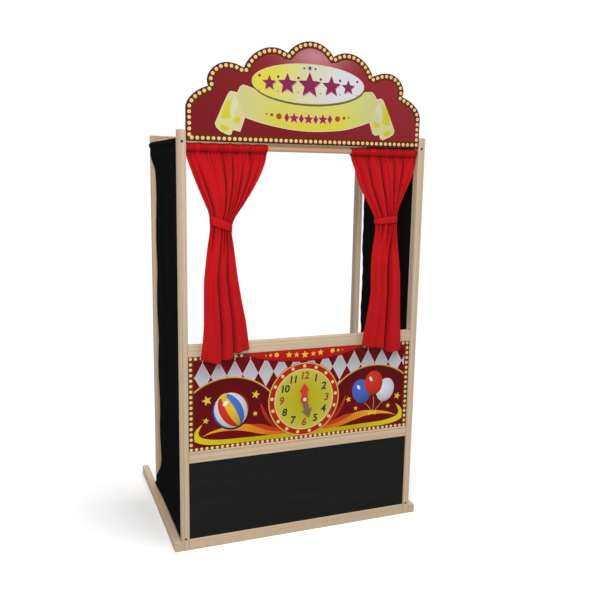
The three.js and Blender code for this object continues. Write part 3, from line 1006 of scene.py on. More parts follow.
def hull(points: Iterable[Point]) -> list[Point]:
    """The convex outline round a few points, anticlockwise.

    Args:
        points: The points.

    Returns:
        The outline's points.
    """
    ordered = sorted(set(points))
    outline: list[Point] = []
    for line in (ordered, ordered[::-1]):
        start = len(outline)
        for point in line:
            while len(outline) - start >= 2:
                (ax, az), (bx, bz) = outline[-2:]
                if (bx - ax) * (point[1] - az) - (bz - az) * (point[0] - ax) > STRAIGHT:
                    break
                outline.pop()
            outline.append(point)
        outline.pop()
    return outline


def band(inner: Outline, outer: Outline, closed: bool = False) -> list[list[Point]]:
    """The small convex faces that join two lines with as many points.

    Args:
        inner: One line.
        outer: The other line.
        closed: Whether they come back to their starts.

    Returns:
        Each face's outline.
    """
    count = len(inner)
    pairs = [(k, (k + 1) % count) for k in range(count if closed else count - 1)]
    corners = ((inner[k], inner[after], outer[after], outer[k]) for k, after in pairs)
    return [outline for outline in map(hull, corners) if len(outline) > 2]


def stroke(path: Outline, width: float, closed: bool = False) -> list[list[Point]]:
    """The faces of a line of a width along a path."""
    right, left = (inset(path, depth, closed) for depth in (-width / 2, width / 2))
    return band(right, left, closed)


def evened(outline: Outline, step: float) -> list[Point]:
    """The same closed line with evenly spaced points.

    Args:
        outline: The line.
        step: How far apart the new points are, at least.

    Returns:
        The new points.
    """
    loop = np.array([*outline, outline[0]])
    along = np.concatenate([[0], np.cumsum(np.hypot(*np.diff(loop, axis=0).T))])
    places = np.linspace(0, along[-1], int(along[-1] / step), endpoint=False)
    return list(zip(np.interp(places, along, loop[:, 0]), np.interp(places, along, loop[:, 1])))


def closed_length(line: Sequence[Place]) -> float:
    """The length of a closed line."""
    loop = np.array([*line, line[0]])
    return float(np.linalg.norm(np.diff(loop, axis=0), axis=1).sum())


class Film:
    """A printed film: shapes laid over each other become one flat sheet with inked corners."""

    def __init__(self, name: str, face: float, thickness: float, board: Outline, base: Ink) -> None:
        """Starts the film with its bare board.

        Args:
            name: The film's name.
            face: Where the board's own face is, which the film lies on.
            thickness: The film's thickness.
            board: Its outline in X and Z.
            base: The ink where nothing else is printed.
        """
        self.name = name
        self.front = face - thickness
        self.back = self.front + thickness
        self.board = list(board)
        self.shapes: list[list[Point]] = [self.board]
        self.inks: list[Ink] = [base]
        self.holes: list[int] = []

    def lay(self, ink: Ink, *outlines: Outline) -> None:
        """Lays shapes of one ink over those before them.

        Args:
            ink: The ink.
            outlines: The shapes' outlines.
        """
        for outline in outlines:
            self.shapes.append(list(outline))
            self.inks.append(ink)

    def dots(self, ink: Ink, spots: Iterable[Triple], steps: int) -> None:
        """Lays round dots, each with its place and its radius."""
        self.lay(ink, *(disc((x, z), radius, steps) for x, z, radius in spots))

    def stars(self, ink: Ink, *spots: tuple[float, ...]) -> None:
        """Lays stars, each with its place, its reach and how far it is turned."""
        self.lay(ink, *(star((x, z), *size) for x, z, *size in spots))

    def discs(self, centre: Point, rows: Iterable[tuple[float, Ink]]) -> None:
        """Lays discs of less and less radius at one centre."""
        for radius, ink in rows:
            self.lay(ink, disc(centre, radius, 96))

    def punch(self, outline: Outline) -> None:
        """Cuts a hole through the film."""
        self.holes.append(len(self.shapes))
        self.lay(self.inks[0], outline)

    def _spread(self, step: float) -> list[Vector]:
        """Loose points over the board, so that a fade has corners to hold its colours."""
        across, up = (np.arange(min(line) + step / 2, max(line), step) for line in zip(*self.board))
        return [Vector((float(x), float(z))) for z in up for x in across]

    def build(self, finish: Coat, step: float = 8) -> Item:
        """Makes the film.

        Args:
            finish: Its material, which reads the corners' ink.
            step: The spacing of the points that hold a fade's colours.

        Returns:
            The film, as a thin closed sheet.
        """
        points: list[Vector] = []
        faces: list[list[int]] = []
        for outline in self.shapes:
            area = sum(a[0] * b[1] - b[0] * a[1] for a, b in zip(outline, [*outline[1:], outline[0]]))
            start = len(points)
            points += [Vector(point) for point in (outline if area > 0 else outline[::-1])]
            faces.append(list(range(start, len(points))))
        found = delaunay_2d_cdt(points + self._spread(step), [], faces, 1, NEAR, True)
        corners, kept = found[0], []
        for triangle, owners in zip(found[2], found[5]):
            if 0 not in owners or any(hole in owners for hole in self.holes):
                continue
            a, b, c = (corners[k] for k in triangle)
            if abs((b - a).cross(c - a)) > SLIVER:
                kept.append((tuple(triangle), max(owners)))
        return self._close(corners, kept, finish)

    def _close(
        self, corners: Sequence[Vector], kept: Sequence[tuple[tuple[int, ...], int]], finish: Coat
    ) -> Item:
        """Gives the flat triangles a thickness and their inks.

        Args:
            corners: The triangulation's points.
            kept: Each triangle's corners, and the number of the shape on top there.
            finish: The film's material.

        Returns:
            The film.
        """
        used = sorted({k for triangle, _ in kept for k in triangle})
        index = {k: i for i, k in enumerate(used)}
        count = len(used)
        places = [(corners[k].x, corners[k].y) for k in used]
        points = [(x, y, z) for y in (self.front, self.back) for x, z in places]
        fronts = [(tuple(index[k] for k in triangle), top) for triangle, top in kept]
        backs = [(tuple(i + count for i in reversed(face)), top) for face, top in fronts]
        edges = {edge: top for face, top in fronts for edge in zip(face, (*face[1:], face[0]))}
        rims = [((b, a, a + count, b + count), top) for (a, b), top in edges.items() if (b, a) not in edges]
        faces = [*fronts, *backs, *rims]
        item = piece(self.name, points, [face for face, _ in faces], [finish], smooth=False)
        inks = item.data.color_attributes.new("ink", "FLOAT_COLOR", "CORNER")
        colours = [(*self.inks[top](*places[k % count]), 1.0) for face, top in faces for k in face]
        inks.data.foreach_set("color", np.array(colours, np.float32).ravel())
        return item


# Small shapes that repeat


def bulb_shape(radius: float, rise: float = 0.35, sides: int = 20) -> Item:
    """Makes the small raised dot that stands for one printed light, facing the front.

    Args:
        radius: Its radius.
        rise: How far it stands out.
        sides: How many sides its rings have.

    Returns:
        The dot.
    """
    rings = ((0.18, 1.0), (0.34, 0.98), (0.72, 0.85), (0.94, 0.45), (1.0, 0.0))
    points, shares = [(0.0, -rise, 0.0)], [0.0]
    for share, lift in rings:
        points += [(x, -rise * lift, z) for x, z in disc((0, 0), radius * share, sides)]
        shares += [share] * sides
    last = len(points) - 1
    faces = [(0, 1 + k, 1 + (k + 1) % sides) for k in range(sides)]
    faces += grid_faces(len(rings), sides, closed=True, start=1)
    faces.append(tuple(range(last, last - sides, -1)))
    item = piece("single_dot", points, faces)
    item.data.attributes.new("radius_share", "FLOAT", "POINT").data.foreach_set("value", shares)
    return item


def stitch_shape(length: float, width: float, sides: int = 6) -> Item:
    """Makes one stitch of thread, along X.

    Args:
        length: Its length.
        width: Its width.
        sides: How many sides it has round.

    Returns:
        The stitch.
    """
    steps = ((-0.5, 0.35), (-0.3, 0.85), (0.0, 1.0), (0.3, 0.85), (0.5, 0.35))
    points = []
    for share, girth in steps:
        points += [(share * length, y, z) for y, z in disc((0, 0), width / 2 * girth, sides)]
    faces = grid_faces(len(steps), sides, closed=True, flip=True)
    faces += [tuple(range(sides))[::-1], tuple(range(len(points) - sides, len(points)))]
    return piece("single_stitch", points, faces)


def line_object(points: Sequence[Place], closed: bool = False) -> Item:
    """Makes a line of points, in millimetres, for a tree to work on.

    Args:
        points: The points.
        closed: Whether the last point is joined to the first.

    Returns:
        The line.
    """
    count = len(points)
    edges = [(k, (k + 1) % count) for k in range(count if closed else count - 1)]
    return piece("line", points, [], edges=edges)


class Trimmings:
    """Sets the dots, stitches and screws that repeat, with Geometry Nodes."""

    def __init__(self, finishes: Finishes) -> None:
        """Builds the two trees that set them."""
        self.finishes = finishes
        self.lines, self.points = line_tree(), point_tree()

    def along(
        self, name: str, lines: Iterable[Line], small: Item, pitch: float, finish: Coat, follow: float = 0.0
    ) -> Item:
        """Sets a small shape along lines.

        Args:
            name: The result's name.
            lines: Each line's points, and whether it is closed.
            small: The shape; it is removed afterwards.
            pitch: How far apart the shapes are.
            finish: Their material.
            follow: 1 where the shapes turn to follow the line.

        Returns:
            All the shapes as one piece.
        """
        values = {"Pitch": pitch * MM, "Follow": follow, "Small shape": small, "Finish": finish}
        meshes = [self.lines.run(line_object(points, closed), values) for points, closed in lines]
        bpy.data.objects.remove(small)
        return joined(name, meshes)

    def lights(self, name: str, lines: Iterable[Line], radius: float, pitch: float, slot: str) -> None:
        """Sets printed lights of a radius along lines, at a pitch, and settles them on the frame."""
        row = self.along(name, lines, bulb_shape(radius), pitch, self.finishes.bulb)
        settle(row, "frame")

    def sewn(self, name: str, lines: Iterable[Array], stitch: Triple, thread: Coat) -> Item:
        """Sews along open lines.

        Args:
            name: The result's name.
            lines: Each line's points.
            stitch: A stitch's length, its width and how far apart the stitches are.
            thread: The thread's material.

        Returns:
            All the stitches as one piece.
        """
        length, width, pitch = stitch
        rows = [(line.tolist(), False) for line in lines]
        return self.along(name, rows, stitch_shape(length, width), pitch, thread, follow=1.0)

    def at(self, name: str, places: Sequence[tuple[Place, Place]], small: Item, finish: Coat) -> Item:
        """Sets a small shape at places.

        Args:
            name: The result's name.
            places: Each place, and the way that the shape faces there.
            small: The shape, drawn facing up; it is removed afterwards.
            finish: Its material.

        Returns:
            All the shapes as one piece.
        """
        source = line_object([place for place, _ in places])
        facing = source.data.attributes.new("facing", "FLOAT_VECTOR", "POINT")
        facing.data.foreach_set("vector", [c for _, way in places for c in way])
        mesh = self.points.run(source, {"Small shape": small, "Finish": finish})
        bpy.data.objects.remove(small)
        return linked(name, mesh)


# Frame


@dataclass
class TimberFrame:
    """The pine battens, which keep their CAD shapes, and the turned rods between them."""

    finishes: Finishes
    nodes: dict[str, Item]
    rod_chamfer: float = 1.0
    rod_sides: int = 48

    def dress(self) -> None:
        """Gives every batten and peg its wood, along its own grain, and the boards their paint."""
        pine = self.finishes.pine
        rails = ["bottom_rail", "middle_rail", "ledge_rail", "header_rail", "rear_cross_rail"]
        self._coat(rails, pine[Grain.ACROSS])
        for side in Side:
            self._coat([f"front_post_{side.tag}", f"rear_post_{side.tag}"], pine[Grain.UP])
            self._coat([f"foot_{side.tag}"], pine[Grain.DEEP])
        self._coat([name for name in self.nodes if "peg" in name], self.finishes.dowel[Grain.ACROSS])
        self._coat(["chalkboard"], self.finishes.chalk)
        self._coat(["clock_panel"], self.finishes.board_back)

    def _coat(self, names: Iterable[str], finish: Coat) -> None:
        """Gives CAD nodes a finish.

        Args:
            names: The nodes' names.
            finish: The finish.
        """
        for name in names:
            for slot in self.nodes[name].material_slots:
                slot.material = finish

    def rods(self) -> None:
        """Turns the curtain rod and the side dowels, round and with chamfered ends."""
        self._rod("curtain_rod", Grain.ACROSS)
        for side in Side:
            for level in ("top", "base"):
                self._rod(f"side_dowel_{level}_{side.tag}", Grain.DEEP)

    def _rod(self, node: str, grain: Grain) -> None:
        """Turns one rod in the place of its CAD node.

        Args:
            node: The node's name.
            grain: The axis that the rod lies along.
        """
        box = Box.of(node)
        axis = grain.value.index(1)
        radius = (box.high.z - box.low.z) / 2
        half = (box.high[axis] - box.low[axis]) / 2
        inner, narrow = half - self.rod_chamfer, radius - self.rod_chamfer
        profile = [(0, -half), (narrow, -half), (radius, -inner), (radius, inner), (narrow, half), (0, half)]
        finish = self.finishes.dowel[grain]
        rod = turned(f"{node}_turned", profile, grain, box.centre, finish, self.rod_sides)
        settle(rod, "frame", [node])


@dataclass
class Screws:
    """The countersunk cross-head screws, one shape at each place."""

    finishes: Finishes
    trimmings: Trimmings
    head: float = 3.2
    cone: float = 2.2
    shank: float = 1.8
    recess: float = 1.6
    slot_half: float = 0.45
    slot_reach: float = 1.9

    def _screw(self, length: float) -> Item:
        """Makes one screw of a length, whose head faces up at the origin.

        Args:
            length: The length.

        Returns:
            The screw.
        """
        head, shank = self.head, self.shank
        profile = [(0, -length), (0.5, -length + 1.2), (shank, -length + 5), (shank, -self.cone)]
        profile += [(head, -0.35), (head - 0.2, -0.08), (head - 0.6, 0), (0, 0)]
        body = turned("single_screw", profile, Grain.UP, (0, 0, 0), self.finishes.steel, 24)
        for turn in (0, math.pi / 2):
            self._cut_slot(body, turn)
        return body

    def _cut_slot(self, body: Item, turn: float) -> None:
        """Cuts one arm of the cross into the head.

        Args:
            body: The screw.
            turn: The arm's angle about the screw's axis.
        """
        reach, half = self.slot_reach, self.slot_half
        floor = block(-reach * 0.3, -half * 0.7, reach * 0.3, half * 0.7)
        points = [(x, y, -self.recess) for x, y in floor]
        points += [(x, y, 0.6) for x, y in block(-reach, -half, reach, half)]
        spin = Matrix.Rotation(turn, 3, "Z")
        faces = [(3, 2, 1, 0), (4, 5, 6, 7)]
        faces += [(k, (k + 1) % 4, (k + 1) % 4 + 4, k + 4) for k in range(4)]
        cutter = piece("cutter", [tuple(spin @ Vector(point)) for point in points], faces, smooth=False)
        cut = body.modifiers.new("cut", "BOOLEAN")
        cut.operation, cut.object, cut.solver = "DIFFERENCE", cutter, "EXACT"
        mesh = finished_mesh(body)
        body.modifiers.remove(cut)
        body.data = mesh
        bpy.data.objects.remove(cutter)

    def build(self) -> None:
        """Sets the frame's eight screws and the sign's four."""
        frame = [f"{{}}_screw_{level}_{side.tag}" for side in Side for level in ("top", "base")]
        self._set("frame_screws", [name.format(end) for name in frame for end in ("front", "rear")])
        self._set("sign_screws", [f"sign_screw_{k}" for k in range(1, 5)])

    def _set(self, name: str, nodes: list[str]) -> None:
        """Sets one kind of screw in the places of its CAD nodes, with the heads outward.

        Args:
            name: The piece's name.
            nodes: The nodes, of which the first gives the screws' length.
        """
        boxes = [Box.of(node) for node in nodes]
        places = []
        for node, box in zip(nodes, boxes):
            y, way = (box.low.y, -1) if node.startswith("front") else (box.high.y, 1)
            places.append(((box.centre.x, y, box.centre.z), (0, way, 0)))
        screw = self._screw(boxes[0].high.y - boxes[0].low.y)
        screws = self.trimmings.at(name, places, screw, self.finishes.steel)
        settle(screws, "frame", nodes)


# Printed boards

RIBBON_LOWER: Outline = (
    (-172, 1116), (-138, 1106), (-90, 1096), (-40, 1089.5), (18, 1088), (90, 1094), (131, 1104.5),
    (168, 1117),
)  # fmt: skip
RIBBON_UPPER: Outline = (
    (188, 1168), (177, 1184), (170.5, 1190), (154, 1189), (126, 1178), (60, 1164), (0, 1160), (-66, 1163),
    (-132, 1175), (-164, 1186), (-176, 1188.5), (-181, 1185), (-192, 1166),
)  # fmt: skip
RIBBON_TAILS: tuple[Outline, Outline] = (
    (
        (-186, 1167), (-197, 1171), (-207, 1172), (-212, 1166), (-227, 1134), (-244, 1096), (-241, 1089),
        (-231, 1080.5), (-220, 1075.5), (-211, 1072), (-206.5, 1073), (-202.5, 1084), (-194, 1083.5),
        (-184, 1080), (-171, 1117), (-170, 1150),
    ),
    (
        (180, 1169), (189, 1173), (198, 1175), (203, 1171), (222, 1133), (238.6, 1096), (235.5, 1087.5),
        (224.5, 1081), (206, 1073), (200.6, 1076.5), (196.5, 1086), (184, 1084), (178, 1088), (167, 1118),
        (166, 1150),
    ),
)  # fmt: skip
ROLL_PATCHES: tuple[Outline, ...] = (
    ((207, 1153), (219, 1149), (230, 1113), (221, 1108), (207, 1112), (209, 1124)),
    ((182, 1114), (199, 1110), (196, 1101), (186, 1099)),
    ((211, 1088), (230, 1094), (231, 1085), (217, 1079)),
)
ROLL_FOLD: Outline = ((198, 1160), (206, 1130), (201, 1110), (196, 1126), (186, 1146))
RIBBON_DOTS = (
    (-115, 1124.4, 2.4), (-101.7, 1123, 4.1), (-83, 1120, 7.2), (75.5, 1120, 7.2), (93.6, 1123, 4.1),
    (107, 1124.3, 2.4),
)  # fmt: skip


@dataclass
class Sign:
    """The scalloped sign: a thick board with eased edges, its printed film and its row of lights.

    Each lobe of its right half is a curve's two handles and its end, as shares of the half width
    and of the height.
    """

    finishes: Finishes
    trimmings: Trimmings
    shoulder: float = 0.305
    lobes: tuple[tuple[float, ...], ...] = (
        (1, 0.393, 0.924, 0.481, 0.823, 0.521),
        (0.864, 0.605, 0.785, 0.7475, 0.677, 0.7475),
        (0.627, 0.7475, 0.589, 0.7295, 0.544, 0.7014),
        (0.519, 0.8096, 0.424, 0.9158, 0.313, 0.9158),
        (0.266, 0.9158, 0.228, 0.8978, 0.193, 0.8677),
        (0.152, 0.9459, 0.082, 1, 0, 1),
    )
    lobe_steps: int = 14
    edge_ease: float = 0.8
    film_thickness: float = 0.15
    bulb_inset: float = 7.6
    bulb_radius: float = 4.7
    bulb_pitch: float = 13.4
    border: float = 14.5
    plaque: Point = (-3, 1201.5)
    plaque_half: Point = (151, 48.5)
    plaque_rim: float = 1.8

    def __post_init__(self) -> None:
        """Reads the CAD board's box."""
        self.box = Box.of("sign_board")

    def outline(self, shrink: float = 0) -> list[Point]:
        """The board's outline, anticlockwise from its lower right corner, or a line inside it.

        Args:
            shrink: How far inside the board's edge the line is.

        Returns:
            The outline's points.
        """
        half, base = self.box.high.x, self.box.low.z
        height = self.box.high.z - base
        right = [(half, base), (half, base + self.shoulder * height)]
        for lobe in self.lobes:
            start = np.array(right[-1])
            a, b, end = (np.array((lobe[k] * half, base + lobe[k + 1] * height)) for k in (0, 2, 4))
            for i in range(1, self.lobe_steps + 1):
                t = i / self.lobe_steps
                u = 1 - t
                point = start * u**3 + 3 * a * u * u * t + 3 * b * u * t * t + end * t**3
                right.append((float(point[0]), float(point[1])))
        outline = [*right, *mirrored(right[-2::-1])]
        return inset(outline, shrink) if shrink else outline

    def _light_line(self) -> list[Point]:
        """The closed line that the lights stand on, as far from the edge at its corners as elsewhere."""
        outline = evened(self.outline(), 2.0)
        edge, nearest = np.array(outline), self.bulb_inset - 0.25
        path = [p for p in inset(outline, self.bulb_inset) if np.hypot(*(edge - p).T).min() > nearest]
        return evened(path, 2.0)

    def build(self) -> None:
        """Builds the board, its film and its lights."""
        back, edge = self.finishes.board_back, self.finishes.board_edge
        board = cut_plate("sign_board_cut", [self.outline()], self.box, self.edge_ease, [back, edge])
        settle(board, "frame", ["sign_board"])
        outline = self.outline(self.edge_ease)
        film = Film("sign_film", self.box.low.y, self.film_thickness, outline, self._board_ink)
        self._border(film)
        self._ribbon(film)
        self._plaque(film)
        settle(film.build(self.finishes.print), "frame")
        line = [(x, film.front, z) for x, z in self._light_line()]
        length = closed_length(line)
        pitch = length / round(length / self.bulb_pitch)
        self.trimmings.lights("sign_lights", [(line, True)], self.bulb_radius, pitch, "sign_print")

    @staticmethod
    def _board_ink(x: float, z: float) -> Colour:
        """The board's red, lighter to the upper right as a painted sheen, with a painted pink highlight at
        the crown.

        Args:
            x: The point's place across.
            z: Its height.

        Returns:
            Its colour.
        """
        # Painted light: a sheen that lightens the red to the upper right, and a highlight on the crown.
        low, high, highlight_pink = colours_of(0x7C1D22, 0x962D34, 0xC4848D)
        base = low + (high - low) * float(np.clip((x / 260 + (z - 1090) / 150) / 2 + 0.2, 0, 1))
        crown = math.exp(-(((x - 15) / 75) ** 2) - ((z - 1268) / 34) ** 2)
        return tuple(base + (highlight_pink - base) * crown)

    @staticmethod
    def _ribbon_ink(x: float, z: float) -> Colour:
        """The ribbon's own ink: deep yellow low in the middle, paler to the ends and the top.

        Args:
            x: The point's place across.
            z: Its height.

        Returns:
            Its colour.
        """
        deep, light, pale = colours_of(0xDDD13C, 0xD8D678, 0xCFCD8A)
        height = float(np.clip((z - 1088 - (x / 170) ** 2 * 26) / 72, 0, 1))
        side = float(np.clip((abs(x) - 70) / 100, 0, 1)) ** 1.3
        inner = deep + (light - deep) * height
        return tuple(inner + (pale - inner) * side)

    def _border(self, film: Film) -> None:
        """Prints the brown band that the lights stand on.

        Args:
            film: The sign's film.
        """
        outline = self.outline(self.edge_ease)
        for depth, code in ((self.border + 1.6, 0x6B2A12), (self.border, 0x573207), (1.8, 0x3C240C)):
            film.lay(flat(code), *band(outline, inset(outline, depth), closed=True))

    def _ribbon(self, film: Film) -> None:
        """Prints the yellow ribbon with its two rolled tails, its dots, stars and diamonds.

        Args:
            film: The sign's film.
        """
        middle = [*smooth_path(RIBBON_LOWER), *RIBBON_UPPER]
        shapes = (*RIBBON_TAILS, middle)
        film.lay(flat(0x470812), *(placed(shape, (1.2, -3.2)) for shape in shapes))
        for shape in shapes:
            film.lay(flat(0xE3D3B4), *stroke(shape, 4.2, closed=True))
        for tail, sign in zip(RIBBON_TAILS, (-1, 1)):
            film.lay(fade(0xD2D096, 0xDAD48C, (sign * 180, 1150), (sign * 240, 1090)), tail)
        yellow, pale = fade(0xD2CE3A, 0xCDC82C, (0, 1150), (0, 1080)), flat(0xD9D8B0)
        film.lay(self._ribbon_ink, middle)
        for sign, shift in ((-1, (0, 0)), (1, (-3, 2))):
            for shape, ink in (*((patch, yellow) for patch in ROLL_PATCHES), (ROLL_FOLD, pale)):
                film.lay(ink, smooth_path(placed(mirrored(shape, sign), shift), 5, closed=True))
        film.dots(flat(0x9E5622), RIBBON_DOTS, 24)
        red, rose = flat(0x9C2F45), flat(0xE9C9A8)
        for k in range(-3, 4):
            x, z = k * 19.5 - 4, 1116 + (k * 19.5 / 70) ** 2 * 3
            shape = diamond((x, z), 7, 11.5) if k % 2 else star((x, z), 14)
            film.lay(rose, [(x + (a - x) * 1.18, z + (b - z) * 1.18) for a, b in shape])
            film.lay(red, shape)

    def _plaque(self, film: Film) -> None:
        """Prints the oval plaque, with a row of stars on it.

        Args:
            film: The sign's film.
        """
        (x, z), (across, up), rim = self.plaque, self.plaque_half, self.plaque_rim
        face = fade(0xE0D84A, 0xDDDDE8, (-95, 1222), (80, 1180))
        film.lay(flat(0x6E6A28), ellipse((x + 1, z - 5), across, up, 72))
        film.lay(flat(0xD8CFA6), ellipse((x, z), across, up, 72))
        film.lay(face, ellipse((x, z), across - rim, up - rim, 72))
        wine, rose, blue = flat(0x8A2C55), flat(0xC98BA2), flat(0x4B4F9E)
        for away, reach in ((0, 32), (-59, 26.5), (59, 26.5), (-106, 19), (106, 19)):
            film.stars(rose, (x + away + 1.8, z - 3 - 2.4, reach))
            film.stars(wine, (x + away, z - 3, reach))
        for away in (-131, -83, -30, 30, 83, 131):
            film.dots(wine, [(x + away, z + 13, 3.4)], 18)
            film.dots(rose, [(x + away, z - 21, 2.4)], 18)
        film.stars(blue, (x, z + 38, 7.5))
        film.dots(blue, [(x + away, z + 37, 2.8) for away in (-15, 15)], 18)


@dataclass(frozen=True)
class Stripe:
    """One stripe of the bowl, on the left: its two long edges, and an ink between two points."""

    outer: Outline
    inner: Outline
    codes: tuple[int, int]
    ends: tuple[Point, Point]


STRIPES = (
    Stripe(
        ((-124, 383), (-120, 362), (-106, 334), (-84, 309), (-70, 298)),
        ((-66, 303), (-88, 326), (-106, 352), (-121, 380)),
        (0xC43418, 0x9A2015),
        ((-120, 380), (-80, 305)),
    ),
    Stripe(
        (
            (-281, 308), (-260, 318.5), (-235, 325), (-206, 329.5), (-172, 331), (-135, 324), (-92, 311),
            (-40, 300),
        ),
        (
            (-40, 290), (-91, 292), (-117, 297), (-152, 307), (-185, 315), (-219, 317.5), (-252, 315),
            (-279, 308.5),
        ),
        (0xE8A62C, 0xD8631C),
        ((-230, 320), (-60, 300)),
    ),
    Stripe(
        ((-150, 327.5), (-120, 325), (-88, 313), (-50, 302)),
        ((-50, 297), (-92, 303), (-122, 313), (-148, 325.5)),
        (0xC8401A, 0xC8401A),
        ((-150, 327), (-50, 300)),
    ),
    Stripe(
        (
            (-279, 343), (-296, 329), (-304, 309), (-297, 295), (-272, 286), (-235, 282), (-185, 280.5),
            (-91, 280), (0, 279),
        ),
        (
            (0, 292), (-91, 292), (-177, 293.5), (-231, 295), (-268, 300.5), (-287, 309.5), (-290, 322),
            (-280.5, 341),
        ),
        (0xE0CE1E, 0xC3B012),
        ((-290, 330), (-150, 284)),
    ),
)  # fmt: skip
BALL_INKS = (0x3F62B8, 0xE4E6F0, 0xD8361E, 0xE9C53A, 0x4D78CF, 0xE8E9F2, 0xCF2C1A)
BANNER_EDGE: Outline = ((-166, 523), (-150, 511.5), (-111, 500.5), (-77, 494.5), (-42, 490.8))


@dataclass(frozen=True)
class Balloon:
    """One balloon: its middle, its two half widths, how far it is turned and its colour."""

    centre: Point
    across: float
    up: float
    turn: float
    code: int

    @property
    def foot(self) -> Point:
        """The point where the balloon is tied."""
        x, z = self.centre
        return x + math.sin(self.turn) * self.up, z - math.cos(self.turn) * self.up


BALLOONS = (
    Balloon((171, 388), 28, 35, 0.28, 0x4A6CC6),
    Balloon((245, 386), 27, 34, -0.3, 0xE6E8F2),
    Balloon((208, 409), 28, 35, 0.0, 0xDA3B20),
)


@dataclass
class ClockPanel:
    """The printed panel: harlequin top, two hills with playthings, a bowl of stripes, and a clock."""

    finishes: Finishes
    trimmings: Trimmings
    film_thickness: float = 0.12
    clock_centre: Point = (0, 382)
    rim: float = 102.3
    bulb_ring: float = 92.3
    ring_bulbs: int = 16
    ring_bulb: float = 4.9
    row_bulb: float = 4.5
    row_pitch: float = 13.6
    pin_hole: float = 2.75
    face: float = 82
    numeral_ring: float = 65
    numeral_size: float = 28
    numeral_rise: float = 0.12
    diamond_pitch: Point = (42.4, 78)
    diamond_start: Point = (-278.8, 466.5)
    hill_centre: Point = (208, 311)
    hill_radius: float = 152
    ball_centre: Point = (-204, 372)
    ball_radius: float = 49
    ball_tilt: float = 0.5
    knot: Point = (206, 322)
    opening: Triple = (316, 270.5, 522)
    tuck: float = 1.5

    def build(self) -> None:
        """Builds the film, the lights and the numerals."""
        side, low, high = self.opening
        tuck = self.tuck
        board = block(-side - tuck, low - tuck, side + tuck, high + tuck)
        wine = fade(0x6E070D, 0x640509, (0, 520), (0, 280))
        film = Film("panel_film", Box.of("clock_panel").low.y, self.film_thickness, board, wine)
        self._diamonds(film)
        self._hills(film)
        self._stripes(film)
        self._ball(film)
        self._balloons(film)
        self._borders(film)
        self._banner(film)
        self._dial(film)
        film.punch(disc(self.clock_centre, self.pin_hole, 24))
        settle(film.build(self.finishes.print), "frame")
        self._lights(film.front)
        self._numerals(film.front)

    def _diamonds(self, film: Film) -> None:
        """Prints the harlequin pattern along the top.

        Args:
            film: The panel's film.
        """
        across, up = self.diamond_pitch
        for row in (-1, 0, 1):
            for k in range(-1, 15):
                x, z = self.diamond_start[0] + k * across, self.diamond_start[1] + row * up
                grey = fade(0xC9CACD, 0xABACB0, (x, z - 14), (x, z + 34))
                for share, ink in ((1.0, flat(0xE0C6D2)), (0.9, grey)):
                    film.lay(ink, diamond((x, z), across / 2 * share, up / 2 * share))

    def _hills(self, film: Film) -> None:
        """Prints the two round hills with their gold rims.

        Args:
            film: The panel's film.
        """
        radius = self.hill_radius
        inner = radius - 5.4
        for centre in (mirrored([self.hill_centre])[0], self.hill_centre):
            wine = glow(0x6A060B, 0x5C0509, centre, inner)
            film.discs(centre, [(radius, flat(0xE2AE62)), (radius - 3.4, flat(0x7A4E10)), (inner, wine)])

    def _stripes(self, film: Film) -> None:
        """Prints the yellow bowl along the bottom, with orange and red stripes rising to the clock.

        Args:
            film: The panel's film.
        """
        for sign in (1, -1):
            for stripe in STRIPES:
                outline = smooth_path(stripe.outer) + smooth_path(stripe.inner)
                film.lay(fade(*stripe.codes, *mirrored(stripe.ends, sign)), mirrored(outline, sign))

    def _ball(self, film: Film) -> None:
        """Prints a striped play ball, with stars round it.

        Args:
            film: The panel's film.
        """
        (x, z), radius, tilt = self.ball_centre, self.ball_radius, self.ball_tilt
        film.lay(flat(0x40070F), disc((x + 3, z - 4), radius))
        edges = np.linspace(-math.pi / 2, math.pi / 2, len(BALL_INKS) + 1)
        heights = [(i / 12 - 0.5) * math.pi for i in range(13)]
        for code, first, last in zip(BALL_INKS, edges, edges[1:]):
            gore = [(radius * math.cos(a) * math.sin(first), radius * math.sin(a)) for a in heights]
            gore += [(radius * math.cos(a) * math.sin(last), -radius * math.sin(a)) for a in heights]
            shade = glow(code, dimmed(code), (x - 10, z + 14), radius * 1.5)
            film.lay(shade, placed(gore[:-1], (x, z), tilt))
        cap = (x - math.sin(tilt) * radius * 0.93, z + math.cos(tilt) * radius * 0.93)
        film.lay(flat(0xE9C53A), ellipse(cap, 12, 5, 24, tilt))
        film.lay(flat(0xF5F6FB), ellipse((x - 15, z + 20), 9, 5, 24, 0.7))
        spots = ((-268, 404, 14, 0.3), (-137, 408, 12, -0.25), (-138, 356, 8, 0.2), (-271, 350, 9, -0.2))
        film.stars(flat(0xE8C443), *spots)

    def _balloons(self, film: Film) -> None:
        """Prints three balloons on strings, with stars beside them.

        Args:
            film: The panel's film.
        """
        knot = self.knot
        for balloon in BALLOONS:
            foot = balloon.foot
            middle = ((foot[0] + knot[0]) / 2 + 3, (foot[1] + knot[1]) / 2)
            film.lay(flat(0xD9B36C), *stroke(smooth_path([foot, middle, knot], 5), 1.2))
        for balloon in BALLOONS:
            (x, z), up, dark = balloon.centre, balloon.up, dimmed(balloon.code)
            film.lay(flat(dark), placed([(-4, -5), (4, -5), (0, 4)], balloon.foot))
            shade = glow(balloon.code, dark, (x - 7, z + 10), up * 1.5)
            film.lay(shade, ellipse((x, z), balloon.across, up, 40, balloon.turn))
            film.lay(flat(0xF4F2F6), ellipse((x - 9, z + 12), 4, 7, 20, 0.5))
        for loop in ([(0, 0), (-13, 7), (-11, -7)], [(0, 0), (11, -7), (13, 7)]):
            film.lay(flat(0xE9C53A), placed(loop, knot))
        spots = ((132, 368, 9, 0.2), (284, 364, 11, -0.3), (256, 338, 8, 0.1), (155, 340, 7, -0.1))
        film.stars(flat(0xE8C443), *spots)

